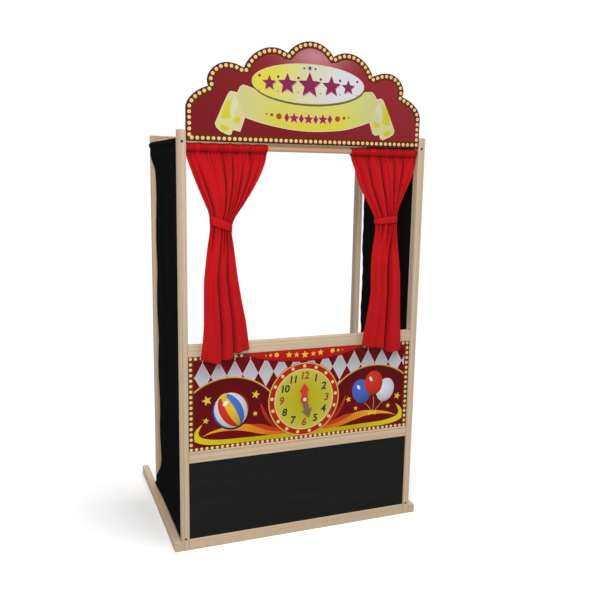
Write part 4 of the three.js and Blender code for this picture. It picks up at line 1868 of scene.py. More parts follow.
    def _borders(self, film: Film) -> None:
        """Prints the brown strips that the lights stand on.

        Args:
            film: The panel's film.
        """
        side, low, high = self.opening
        foot, top = low - self.tuck, high + self.tuck
        for inner, ink in ((14.5, flat(0x6E2A10)), (12.8, flat(0x5A3606))):
            for sign in (-1, 1):
                film.lay(ink, block(sign * (side - inner), foot, sign * (side + self.tuck), top))
            film.lay(ink, block(-side, foot, side, low + inner * 0.62))
            film.lay(ink, block(-side, high - inner * 0.8, side, top))

    def _banner(self, film: Film) -> None:
        """Prints the red banner that hangs from the ledge, with a row of stars.

        Args:
            film: The panel's film.
        """
        curve = smooth_path([*BANNER_EDGE, (0, 489.4), *mirrored(BANNER_EDGE[::-1])])
        film.lay(flat(0x4E0A0E), [(x, z - 2.2) for x, z in curve])
        film.lay(fade(0xC81E16, 0xA5140F, (0, 520), (0, 490)), curve)
        gold, dots = flat(0xF2C640), ((80, 6), (97, 3.8), (110, 1.9))
        film.dots(gold, [(sign * x, 511, reach) for sign in (-1, 1) for x, reach in dots], 20)
        film.stars(gold, (0, 506, 11), (-24, 507, 8), (24, 507, 8), (-45, 508.5, 9.5), (45, 508.5, 9.5))

    def _dial(self, film: Film) -> None:
        """Prints the clock's rim, ring and face.

        Args:
            film: The panel's film.
        """
        centre, rim, face = self.clock_centre, self.rim, self.face
        rows = [(rim + 1, flat(0x4A0A10)), (rim, flat(0xE3AE58))]
        rows += [(rim - 3.4, glow(0xBE2C10, 0xAC240E, centre, rim)), (face + 3.2, flat(0xEBC67E))]
        film.discs(centre, [*rows, (face, glow(0xBFB20E, 0xC8C252, centre, face))])

    def _lights(self, front: float) -> None:
        """Sets the rows of printed lights round the panel, and the ring of them on the clock.

        Args:
            front: Where the film's front is.
        """
        side, low, high = self.opening
        column, foot, top = side - 6.3, low + 4.6, high - 5.4
        rows = []
        for sign in (-1, 1):
            rows.append([(sign * column, foot + 13.5), (sign * column, top)])
            rows.append([(sign * (column - 13), top), (sign * 176, top)])
        rows.append([(-column, foot), (column, foot)])
        lines = [([(x, front, z) for x, z in row], False) for row in rows]
        self.trimmings.lights("panel_lights", lines, self.row_bulb, self.row_pitch, "panel_print")
        ring = ellipse(self.clock_centre, self.bulb_ring, self.bulb_ring, 64, math.pi / 2)
        circle = [(x, front, z) for x, z in ring]
        pitch = closed_length(circle) / self.ring_bulbs
        self.trimmings.lights("clock_lights", [(circle, True)], self.ring_bulb, pitch, "panel_print")

    def _numerals(self, front: float) -> None:
        """Sets the hours as thin raised print, the quarters in red.

        Args:
            front: Where the film's front is.
        """
        numerals: dict[str, list[Mesh]] = {"quarter_numerals": [], "hour_numerals": []}
        for hour in range(1, 13):
            curve = bpy.data.curves.new(f"hour_{hour}", "FONT")
            curve.body, curve.size = str(hour), self.numeral_size
            curve.align_x, curve.align_y = "CENTER", "CENTER"
            curve.extrude, curve.offset, curve.shear = self.numeral_rise / 2, 0.85, 0.12
            curve.space_character, curve.resolution_u = 0.9, 5
            angle = TURN * hour / 12
            x = self.clock_centre[0] + self.numeral_ring * math.sin(angle)
            z = self.clock_centre[1] + self.numeral_ring * math.cos(angle)
            ink = self.finishes.black_ink if hour % 3 else self.finishes.red_ink
            item = from_curve(f"hour_{hour}", curve, (x, front - self.numeral_rise / 2, z), [ink])
            numerals["hour_numerals" if hour % 3 else "quarter_numerals"].append(item.data)
        for name, meshes in numerals.items():
            settle(joined(name, meshes), "frame")


@dataclass
class ClockHands:
    """The two arrow hands on their pin, and the cap that holds it behind the panel.

    Each hand has its length, its shaft's half width and its head's half width.
    """

    finishes: Finishes
    hour: Triple = (45, 8, 14)
    minute: Triple = (54, 7.5, 15)
    tail: float = 10
    bore: float = 2.7
    cap_bore: float = 2.55
    ease: float = 0.45
    minute_angle: float = math.radians(165)

    def _outline(self, length: float, half: float, head: float) -> list[Point]:
        """A hand's outline, pointing up: the round tail, the shaft and a head with curved sides.

        Args:
            length: How far its tip is from the pin.
            half: Half its shaft's width.
            head: Half its head's width.

        Returns:
            The outline's points.
        """
        base = length - 1.4 * head
        lift = math.asin(half / self.tail)
        start, end = math.pi / 2 + lift, math.pi * 2.5 - lift
        angles = [start + (end - start) * k / 24 for k in range(25)]
        outline = [(self.tail * math.cos(a), self.tail * math.sin(a)) for a in angles]
        barb = base - (head - half) / 2
        outline += [(half, base), (head, barb)]
        for k in range(1, 9):
            t = k / 8
            u = 1 - t
            z = u**2 * barb + u * t * (base + length) + t * t * length
            outline.append((u**2 * head + u * t * head, z))
        return [*outline, *mirrored(outline[-2:-10:-1]), (-half, base)]

    def build(self) -> None:
        """Builds the hands, the pin and the cap."""
        box = Box.of("clock_pin")
        centre = (box.centre.x, box.centre.z)
        hole = disc(centre, self.bore, 32)[::-1]
        brown, red = self.finishes.brown_plastic, self.finishes.red_plastic
        rows = (
            ("minute_hand", self.minute, self.minute_angle, brown, "brown_plastic"),
            ("hour_hand", self.hour, 0.0, red, "red_plastic"),
        )
        for node, sizes, turn, finish, slot in rows:
            outline = placed(self._outline(*sizes), centre, -turn)
            hand = cut_plate(f"{node}_arrow", [outline, hole], Box.of(node), self.ease, [finish])
            settle(hand, node, [node])
        self._pin(box, centre)
        self._cap(centre)

    def _pin(self, box: Box, centre: Point) -> None:
        """Turns the domed pin.

        Args:
            box: The CAD pin's box.
            centre: The pin's middle.
        """
        dome = [(0, 0), (1.6, 0.12), (3.2, 0.5), (4.4, 1.15), (4.95, 1.9), (5, 2.3), (4.8, 2.5), (2.5, 2.5)]
        profile = [(radius, box.low.y + deep) for radius, deep in dome]
        profile += [(2.5, box.high.y - 0.4), (2.1, box.high.y), (0, box.high.y)]
        middle = (centre[0], 0, centre[1])
        pin = turned("clock_pin_turned", profile, Grain.DEEP, middle, self.finishes.white_plastic)
        settle(pin, "frame", ["clock_pin"])

    def _cap(self, centre: Point, sides: int = 40) -> None:
        """Turns the push-on cap, a ring whose profile closes on itself.

        Args:
            centre: The pin's middle.
            sides: How many sides it has round.
        """
        box = Box.of("clock_pin_cap")
        low, high, radius = box.low.y, box.high.y, (box.high.x - box.low.x) / 2
        loop = [(self.cap_bore, low), (radius - 0.5, low), (radius, low + 0.5)]
        loop += [(radius - 0.4, high - 0.8), (radius - 1.2, high), (self.cap_bore, high)]
        points = [(x, y, z) for reach, y in loop for x, z in disc(centre, reach, sides)]
        quads = grid_faces(len(loop) + 1, sides, closed=True, flip=True)
        faces = [tuple(k % len(points) for k in face) for face in quads]
        cap = crease(piece("clock_pin_cap_turned", points, faces, [self.finishes.white_plastic]))
        settle(cap, "frame", ["clock_pin_cap"])


# Cloth


def eased(low: float, high: float, value: Array) -> Array:
    """Goes smoothly from 0 at low to 1 at high."""
    share = np.clip((value - low) / (high - low), 0, 1)
    return share * share * (3 - 2 * share)


def smoothed(values: Array, reach: int, **padding: str) -> Array:
    """Evens out a row of values over so many of them either way."""
    kernel = np.hanning(2 * reach + 1)
    return np.convolve(np.pad(values, reach, **padding), kernel / kernel.sum(), "valid")


def laid_flat(points: Array, across: Array, width: float) -> tuple[Array, float]:
    """Lays a folded sheet flat.

    Args:
        points: Its rows and columns of points.
        across: Each column's share of the width.
        width: The flat cloth's width.

    Returns:
        Each point's place on the flat cloth, and the cloth's length.
    """
    lengths = np.linalg.norm(np.diff(points, axis=0), axis=2).mean(axis=1)
    down = np.concatenate([[0], np.cumsum(lengths)])
    return np.stack(np.meshgrid(across * width, down), axis=2), float(down[-1])


def cloth_piece(
    name: str,
    points: Array,
    flat_map: Array,
    thickness: float,
    finish: Coat,
    painted_shades: Array | None = None,
    closed: bool = False,
) -> Item:
    """Makes a sheet of cloth with a thickness.

    Args:
        name: The object's name.
        points: Its rows and columns of points, in millimetres.
        flat_map: Each point's place on the flat cloth, in millimetres.
        thickness: The cloth's thickness.
        finish: Its material.
        painted_shades: How much painted shade each point gets in its creases and folds, from 0 to 1.
        closed: Whether it is a loop, whose last column meets its first.

    Returns:
        The object, with a Solidify modifier.
    """
    rows, columns = points.shape[:2]
    item = piece(name, points.reshape(-1, 3).tolist(), grid_faces(rows, columns, closed), [finish])
    corners = np.zeros(len(item.data.loops), np.int32)
    item.data.loops.foreach_get("vertex_index", corners)
    weave = item.data.uv_layers.new(name="weave")
    weave.data.foreach_set("uv", (flat_map.reshape(-1, 2)[corners] * MM).ravel())
    # Stores the painted shade for the finish to darken the cloth with.
    if painted_shades is not None:
        depth = item.data.attributes.new("hollow", "FLOAT", "POINT")
        depth.data.foreach_set("value", painted_shades.ravel().astype(np.float32))
    wall = item.modifiers.new("cloth", "SOLIDIFY")
    wall.thickness, wall.offset, wall.use_even_offset = thickness * MM, 0, False
    return item


@dataclass(frozen=True)
class FoldPlan:
    """One curtain's own hang.

    Levels are drops below the rod, with the insets of the outer and inner edges from the post. Pleats
    and valleys are each a share across from the outer edge, a half width share and a depth share.
    Hem rows are a share across and how far the hem hangs above its lowest level. The band is its
    middle's inset, half width, drop, tilt and height. The bend draws the folds at the neck towards the
    inner edge, or towards the outer one where it is below 0.
    """

    levels: tuple[Triple, ...]
    pleats: tuple[Triple, ...]
    valleys: tuple[Triple, ...]
    hem: tuple[Point, ...]
    band: tuple[float, float, float, float, float]
    bend: float
    phases: tuple[float, float, float, float]


HANGS = {
    Side.LEFT: FoldPlan(
        levels=(
            (0, 1.4, 207), (12, 1.4, 206), (24, 2.5, 204), (38, 6.5, 200), (66, 16, 187), (95, 27, 171),
            (123, 39, 153.5), (153, 53, 133), (167, 56.5, 123), (182, 57.5, 115.5), (196, 57.5, 112),
            (211, 55.5, 112), (241, 49.5, 116), (286, 43.5, 121), (330, 38.5, 126), (390, 37, 134.5),
            (450, 36, 144.5), (500, 32, 150), (541, 27, 153.5),
        ),
        pleats=(
            (0.045, 0.022, 0.5), (0.13, 0.026, 0.9), (0.285, 0.04, 0.3), (0.44, 0.024, 1.0),
            (0.56, 0.024, 0.95), (0.63, 0.018, 0.5), (0.705, 0.026, 1.0), (0.83, 0.028, 0.85),
            (0.93, 0.022, 0.6),
        ),
        valleys=((0.43, 0.045, 1.0), (0.7, 0.05, 0.7), (0.21, 0.08, 0.14), (0.88, 0.06, 0.22)),
        hem=(
            (0, 21), (0.1, 15), (0.25, 9.5), (0.39, 5), (0.45, 15), (0.63, 17), (0.7, 29), (0.85, 33),
            (1, 38),
        ),
        band=(85.5, 28.5, 186, 22, 23.5),
        bend=0.45,
        phases=(0.4, 1.9, 3.1, 5.2),
    ),
    Side.RIGHT: FoldPlan(
        levels=(
            (0, 0.8, 196), (12, 0.8, 195), (28, 1.6, 191), (44, 8, 186), (60, 13.5, 182), (91, 28.5, 171.5),
            (122, 43.5, 153.5), (153, 54.5, 134), (169, 58, 125), (185, 58, 121.5), (201, 57.5, 121.5),
            (217, 57.5, 123.5), (249, 54.5, 130), (281, 51.5, 134.5), (330, 46.5, 136), (380, 45.5, 136.5),
            (427, 45, 143.5), (460, 44, 149.5), (493, 42.5, 156), (541, 40, 161.5),
        ),
        pleats=(
            (0.06, 0.024, 0.5), (0.19, 0.032, 0.9), (0.34, 0.034, 1.0), (0.46, 0.024, 0.45),
            (0.56, 0.034, 1.0), (0.77, 0.038, 0.9), (0.92, 0.028, 0.5),
        ),
        valleys=((0.38, 0.09, 1.0), (0.66, 0.07, 0.4), (0.12, 0.08, 0.2), (0.88, 0.07, 0.25)),
        hem=((0, 5), (0.1, 3), (0.2, 2), (0.32, 1.5), (0.38, 14), (0.55, 16), (0.75, 19), (0.9, 22), (1, 23)),
        band=(90, 33, 179, 6, 19),
        bend=-0.65,
        phases=(2.2, 0.7, 4.4, 1.3),
    ),
}  # fmt: skip


@dataclass
class Curtain:
    """A gathered curtain on the rod, tied back with a band of its own cloth."""

    side: Side
    finishes: Finishes
    trimmings: Trimmings
    flat_width: float = 232
    thickness: float = 0.7
    band_thickness: float = 1.5
    thread_lift: float = 0.12
    stitch: Triple = (2.6, 0.45, 3.6)
    drop: float = 541
    seam: float = 10.8
    pocket: float = 7.9
    neck: float = 181.8
    neck_half_depth: float = 9.3
    tail_depth: float = 12.5
    rows: int = 132
    columns: int = 252
    gathers: int = 24
    casing_rows: int = 26
    band_rows: int = 13
    band_columns: int = 96

    def __post_init__(self) -> None:
        """Reads the places of the rod, the ledge and the post."""
        rod, ledge = Box.of("curtain_rod"), Box.of("ledge_rail")
        self.rod_y, self.rod_z = rod.centre.y, rod.centre.z
        self.front, self.ledge_top = ledge.low.y, ledge.high.z
        post = Box.of(f"front_post_{self.side.tag}")
        self.post_x = min(abs(post.low.x), abs(post.high.x))
        self.plan = HANGS[self.side]
        self.tail_y = self.front - self.tail_depth - 1.2
        self.name = f"curtain_{self.side.tag}"

    def _edge(self, drops: Array, column: int) -> Array:
        """The distance of the outer edge, 1, or the inner, 2, from the post's face at each drop.

        Args:
            drops: Each row's depth below the rod.
            column: Which edge.

        Returns:
            The distance at each depth.
        """
        table = np.array(self.plan.levels)
        fine = np.linspace(0, self.drop, 400)
        raw = np.interp(fine, table[:, 0], table[:, column])
        return np.interp(drops, fine, smoothed(raw, 8, mode="reflect", reflect_type="odd"))

    def _centre_y(self, drops: Array, soft: float = 0.03) -> Array:
        """The cloth's middle, from the rod forward to the front of the ledge, with a soft bend.

        Args:
            drops: Each row's depth below the rod.
            soft: How soft the bend is, as a share of the way to the ledge.

        Returns:
            The middle's Y at each depth.
        """
        share = drops / (self.rod_z - self.ledge_top)
        held = share - np.logaddexp(0, (share - 1) / soft) * soft
        return self.rod_y + (self.tail_y - self.rod_y) * held

    def _fold_fields(self, across: Array, drops: Array) -> tuple[Array, Array]:
        """The folds of the fall.

        Args:
            across: Each column's share of the cloth's width.
            drops: Each row's depth below the rod.

        Returns:
            How far each point stands forward, as a share of the row's depth, and how far it is
            shifted along the row, as a share of the row's width.
        """
        p1, p2, p3, p4 = self.plan.phases
        s, d = np.meshgrid(across, drops)
        warp = s + 0.018 * np.sin(TURN * 1.6 * s + d / 95 + p1) + 0.011 * np.sin(TURN * 3.3 * s - d / 70 + p2)
        drift = s - 0.006 * np.sin(d / 75 + 9 * s + p3) - 0.003 * np.sin(d / 21 + 20 * s)
        reach = 30 + 13 * np.sin(TURN * 4.7 * s + p4)
        gather = np.exp(-(((d - self.seam) / reach) ** 1.2))
        upper, lower = eased(6, 60, d), eased(self.neck + 4, self.neck + 115, d)
        gathers = self._gathers(warp) * 2 - 1
        pleats = self._folds(self.plan.pleats, drift)
        hem = self._folds(self.plan.valleys, drift) - 0.5 * ((s - 0.5) / 0.5) ** 6
        hem += 0.12 * np.cos(TURN * 3.7 * s + p3 + d / 130) + 0.04 * np.cos(TURN * 7 * warp + p4 - d / 60)
        forward = gather * gathers + upper * (1 - 0.94 * lower) * pleats + lower * hem
        bunch = np.exp(-(((d - self.neck) / 58) ** 2))
        ends = np.sqrt(np.clip(1 - (np.abs(2 * s - 1)) ** 5, 0, 1))
        forward *= 1 + (ends - 1) * bunch
        shift = lower * self._lean(self.plan.valleys, drift) * 1.3
        shift += (1 - lower) * upper * self._lean(self.plan.pleats, drift) * 0.45
        return forward, shift

    def _gathers(self, across: Array) -> Array:
        """The gathers along the casing, from 0 in each sharp crease to 1 on each puff.

        Args:
            across: Shares of the cloth's width.

        Returns:
            The gathers at each share.
        """
        p1, p2, p3, _ = self.plan.phases
        uneven = across + 0.016 * np.sin(TURN * 3.1 * across + p1) + 0.009 * np.sin(TURN * 7.7 * across + p2)
        size = 0.68 + 0.32 * np.sin(TURN * 5.3 * across + p3)
        return np.abs(np.sin(math.pi * self.gathers * uneven)) ** 0.85 * size

    @staticmethod
    def _folds(grooves: Sequence[Triple], s: Array) -> Array:
        """The profile of rounded folds between grooves: 1 on a fold, -1 deep in a full groove.

        Args:
            grooves: Each groove's place, half width and depth.
            s: Each point's share of the cloth's width.

        Returns:
            The profile at each point.
        """
        places, _, depths = np.array(sorted(grooves)).T
        turns = np.interp(s, [-0.05, *places, 1.05], np.arange(len(places) + 2))
        rounded = (0.5 - 0.5 * np.cos(TURN * turns)) ** 0.8
        total = 1 - 0.9 * np.interp(s, places, depths) * (1 - rounded)
        for place, half, depth in grooves:
            total -= 1.1 * depth * np.exp(-(((s - place) / half) ** 2))
        return total

    @staticmethod
    def _lean(grooves: Sequence[Triple], s: Array) -> Array:
        """How far the cloth closes over each groove, as a share of the row's width.

        Args:
            grooves: Each groove's place, half width and depth.
            s: Each point's share of the cloth's width.

        Returns:
            Each point's shift.
        """
        total = np.zeros_like(s)
        for place, half, depth in grooves:
            offset = (s - place) / half
            total -= depth * min(half, 0.04) * offset * np.exp(-(offset**2) / 1.6)
        return total

    def _fall(self, across: Array) -> tuple[Array, Array]:
        """The hanging part's points, and the painted shade of each.

        Args:
            across: Each column's share of the cloth's width.

        Returns:
            Both, row by row from the seam down.
        """
        drops = self.seam + (self.drop - self.seam) * np.linspace(0, 1, self.rows)
        forward, shift = self._fold_fields(across, drops)
        outer, inner = self._edge(drops, 1)[:, None], self._edge(drops, 2)[:, None]
        drawn = eased(0, self.neck, drops) * (1 - eased(self.neck + 10, self.neck + 150, drops))
        shift = shift + self.plan.bend * drawn[:, None] * (across * (1 - across))[None, :]
        x = outer + (inner - outer) * np.clip(across[None, :] + shift, -0.01, 1.01)
        depth = self._depths(x, forward, drops)
        y = self._centre_y(drops)[:, None] - depth[:, None] * forward
        z = self.rod_z - drops[:, None] + self._hem_rise(across, drops)
        y = np.minimum(y, np.where(z < self.ledge_top + 14, self.front - 0.9, y))
        crumple = np.sin(z / 9 + across * 40) * np.sin(z / 23 - across * 17 + 1)
        y = y - 0.45 * np.abs(crumple) - 0.5 * np.abs(np.sin(z / 31 + across * 11))
        # Painted shade where the folds go back and in their grooves, and under the casing's seam where its
        # shadow falls; the cloth is also a little darker towards the hem.
        painted_shades = 0.62 * eased(-0.3, 1.0, -forward) + 0.1 * eased(self.neck, self.drop, drops)[:, None]
        seam = np.exp(-(((drops - self.seam) / 3.4) ** 2))[:, None]
        painted_shades = painted_shades + 0.5 * seam * (0.35 + 0.65 * eased(-0.9, 0.9, -forward))
        return np.stack([self._mirrored(x), y, z], axis=2), painted_shades

    def _depths(self, x: Array, forward: Array, drops: Array) -> Array:
        """Each row's fold depth: as deep as its share of the flat width asks, within limits.

        Args:
            x: Each point's distance from the post.
            forward: How far it stands forward, as a share of the depth.
            drops: Each row's drop below the rod.

        Returns:
            The depth of each row's folds, evened out down the cloth.
        """
        steps_x, steps_f = np.diff(x, axis=1), np.diff(forward, axis=1)
        places = [self.seam, 50, 130, self.neck, 240, 340, self.drop]
        limit = np.interp(drops, places, [3.2, 5.6, 8, self.neck_half_depth * 0.9, 9, 10.5, 12])
        low, high = np.zeros(len(drops)), limit.copy()
        for _ in range(24):
            middle = (low + high) / 2
            lengths = np.hypot(steps_x, middle[:, None] * steps_f).sum(axis=1)
            low = np.where(lengths < self.flat_width, middle, low)
            high = np.where(lengths < self.flat_width, high, middle)
        return smoothed((low + high) / 2, 6, mode="edge")

    def _hem_rise(self, across: Array, drops: Array) -> Array:
        """How far each point is lifted, so that the hem hangs at its own levels.

        Args:
            across: Each column's share of the cloth's width.
            drops: Each row's depth below the rod.

        Returns:
            Each point's lift.
        """
        table = np.array(self.plan.hem)
        level = smoothed(np.interp(across, table[:, 0], table[:, 1]), 4, mode="edge")
        below = np.clip((drops - self.neck) / (self.drop - self.neck), 0, 1)
        return level[None, :] * (below**1.6)[:, None]

    def _mirrored(self, inset_by: Array) -> Array:
        """Turns a distance from the post's face into X on this curtain's side."""
        return self.side.value * (self.post_x - inset_by)

    def _casing(self, across: Array, first: Array) -> tuple[Array, Array]:
        """The pocket round the rod, from the seam behind it over the top to the seam in front.

        Args:
            across: Each column's share of the cloth's width.
            first: The fall's first row, which the pocket meets at the seam.

        Returns:
            Its points, and the painted shade of each.
        """
        outer, inner = (self._edge(np.array([0.0]), column)[0] for column in (1, 2))
        start_x = outer + (inner - outer) * across
        end_x = self.post_x - self.side.value * first[:, 0]
        rows, painted_shades = [], []
        for k in range(self.casing_rows):
            angle = TURN * k / self.casing_rows
            below = max(0.0, math.cos(angle)) ** 2
            radius = self.pocket + (self.seam - self.pocket) * below
            slant = across + 0.012 * math.sin(angle * 1.5 + self.plan.phases[0])
            puffs = self._gathers(slant + 0.006 * np.sin(across * 37 + angle * 2))
            ripple = 2.7 * (0.2 + 0.8 * (1 - below)) * puffs
            y = self.rod_y + (self.pocket + ripple) * math.sin(angle)
            z = self.rod_z - (radius + ripple) * math.cos(angle)
            near = float(eased(0.72, 1.0, np.array(k / self.casing_rows)))
            back = float(1 - eased(0.0, 0.14, np.array(k / self.casing_rows)))
            y = y + (first[:, 1] - self.rod_y) * near + 0.9 * back
            x = start_x + (end_x - start_x) * near
            rows.append(np.stack([self._mirrored(x), y, z], axis=1))
            # Painted shade in the creases between the puffs and on the pocket's underside by the seam.
            painted_shades.append(0.34 * (1 - np.clip(puffs, 0, 1)) ** 2 + 0.42 * near**3)
        return np.array(rows), np.array(painted_shades)

    @staticmethod
    def _hem_fold(points: Array, depth: int = 4) -> Array:
        """The hem's turned-up part, behind so many of the last rows.

        Args:
            points: The cloth's points, row by row.
            depth: How many rows it covers.

        Returns:
            Its points, row by row.
        """
        back = points[-1 - depth : -1][::-1].copy()
        back[:, :, 1] += 1.0
        turn = (points[-1] + back[0]) / 2
        turn[:, 2] = points[-1, :, 2] - 0.5
        return np.concatenate([turn[None], back])

    def build(self) -> None:
        """Builds the curtain, its band and its stitching."""
        across = np.linspace(0, 1, self.columns)
        fall, fall_painted_shades = self._fall(across)
        casing, casing_painted_shades = self._casing(across, fall[0])
        fold = self._hem_fold(fall)
        points = np.concatenate([casing, fall, fold])
        # The turned-up hem behind the cloth gets an even painted shade.
        painted_shades = np.concatenate([casing_painted_shades, fall_painted_shades, np.full(fold.shape[:2], 0.3)])
        if self.side is Side.RIGHT:
            points, painted_shades = points[:, ::-1], painted_shades[:, ::-1]
        flat_map, length = laid_flat(points, across, self.flat_width)
        cloth, red = f"{self.name}_cloth", self.finishes.red_cloth
        curtain = cloth_piece(cloth, points, flat_map, self.thickness, red, painted_shades)
        settle(curtain, self.name, [self.name])
        self._band()
        self._stitches(fall)
        LOG.info("%s: flat %.0f by %.0f mm", self.name, self.flat_width, length)

    def _stitches(self, fall: Array) -> Item:
        """Sews the casing's seam, the hem and the two sides.

        Args:
            fall: The hanging part's points.

        Returns:
            The stitches.
        """
        out = np.array([0, -self.thickness / 2 - self.thread_lift, 0])
        lines = [line + out for line in (fall[1], fall[-5], fall[3:, 3], fall[3:, -4])]
        thread = self.finishes.red_thread
        stitches = self.trimmings.sewn(f"{self.name}_stitches", lines, self.stitch, thread)
        return settle(stitches, self.name)

    def _band(self) -> Item:
        """Makes the band: a flat loop of doubled cloth, lower on the side towards the stage."""
        node = f"tieback_{self.side.tag}"
        inset_by, half, drop, tilt, tall = self.plan.band
        box = Box.of(node)
        deep = (box.high.y - box.low.y) / 2 - 1.3
        centre_x = float(self._mirrored(np.array(inset_by)))
        centre_y = float(self._centre_y(np.array([drop]))[0])
        reach = half - 1.8 - deep
        around = 2 * (2 * reach + math.pi * deep)
        rows, columns = self.band_rows, self.band_columns
        points, flat_map = np.zeros((rows, columns, 3)), np.zeros((rows, columns, 2))
        for j in range(rows):
            v = j / (rows - 1)
            belly = math.sin(math.pi * v)
            for k in range(columns):
                x, y, nx, ny = self._stadium(around * k / columns, reach, deep)
                grow = 0.4 + belly**0.6 + 0.35 * math.sin(k * 0.9 + v * 4) * belly
                inward = -x * self.side.value / half
                z = self.rod_z - drop + (0.5 - v) * tall * (1 - 0.12 * (inward + 1)) - tilt * inward / 2
                z += 0.5 * math.sin(TURN * k / columns * 2 + v * 3)
                points[j, -1 - k] = (centre_x + x + nx * grow, centre_y + y + ny * grow, z)
                flat_map[j, -1 - k] = (k * around / columns, v * tall)
        red = self.finishes.red_cloth
        loop = cloth_piece(f"{node}_band", points, flat_map, self.band_thickness, red, closed=True)
        return settle(loop, self.name, [node])

    @staticmethod
    def _stadium(along: float, reach: float, deep: float) -> tuple[float, float, float, float]:
        """Finds a point on a loop with straight sides and round ends.

        Args:
            along: The distance along the loop.
            reach: Half the length of its straight sides.
            deep: The radius of its ends.

        Returns:
            The point's two measures, and the two of its outward way.
        """
        straight, arc = 2 * reach, math.pi * deep
        past = along % (straight + arc)
        first = along < straight + arc
        if past < straight:
            return (reach - past, -deep, 0.0, -1.0) if first else (past - reach, deep, 0.0, 1.0)
        angle = (-math.pi / 2 if first else math.pi / 2) - (past - straight) / deep
        cosine, sine = math.cos(angle), math.sin(angle)
        return (-reach if first else reach) + deep * cosine, deep * sine, cosine, sine


PUFFS = {Side.LEFT: 0.0, Side.RIGHT: 0.42}
DRAWS: dict[Side, Outline] = {
    Side.LEFT: (
        (44, 0), (60, 5), (85, 20), (110, 35), (130, 40), (440, 36), (600, 31), (700, 25), (962, 24),
        (984, 18), (1002, 9), (1020, 3), (1041, 0),
    ),
    Side.RIGHT: (
        (44, 0), (60, 6), (90, 22), (125, 33), (300, 36), (560, 34), (700, 33), (860, 28), (950, 27),
        (980, 20), (1003, 10), (1020, 4), (1041, 0),
    ),
}  # fmt: skip


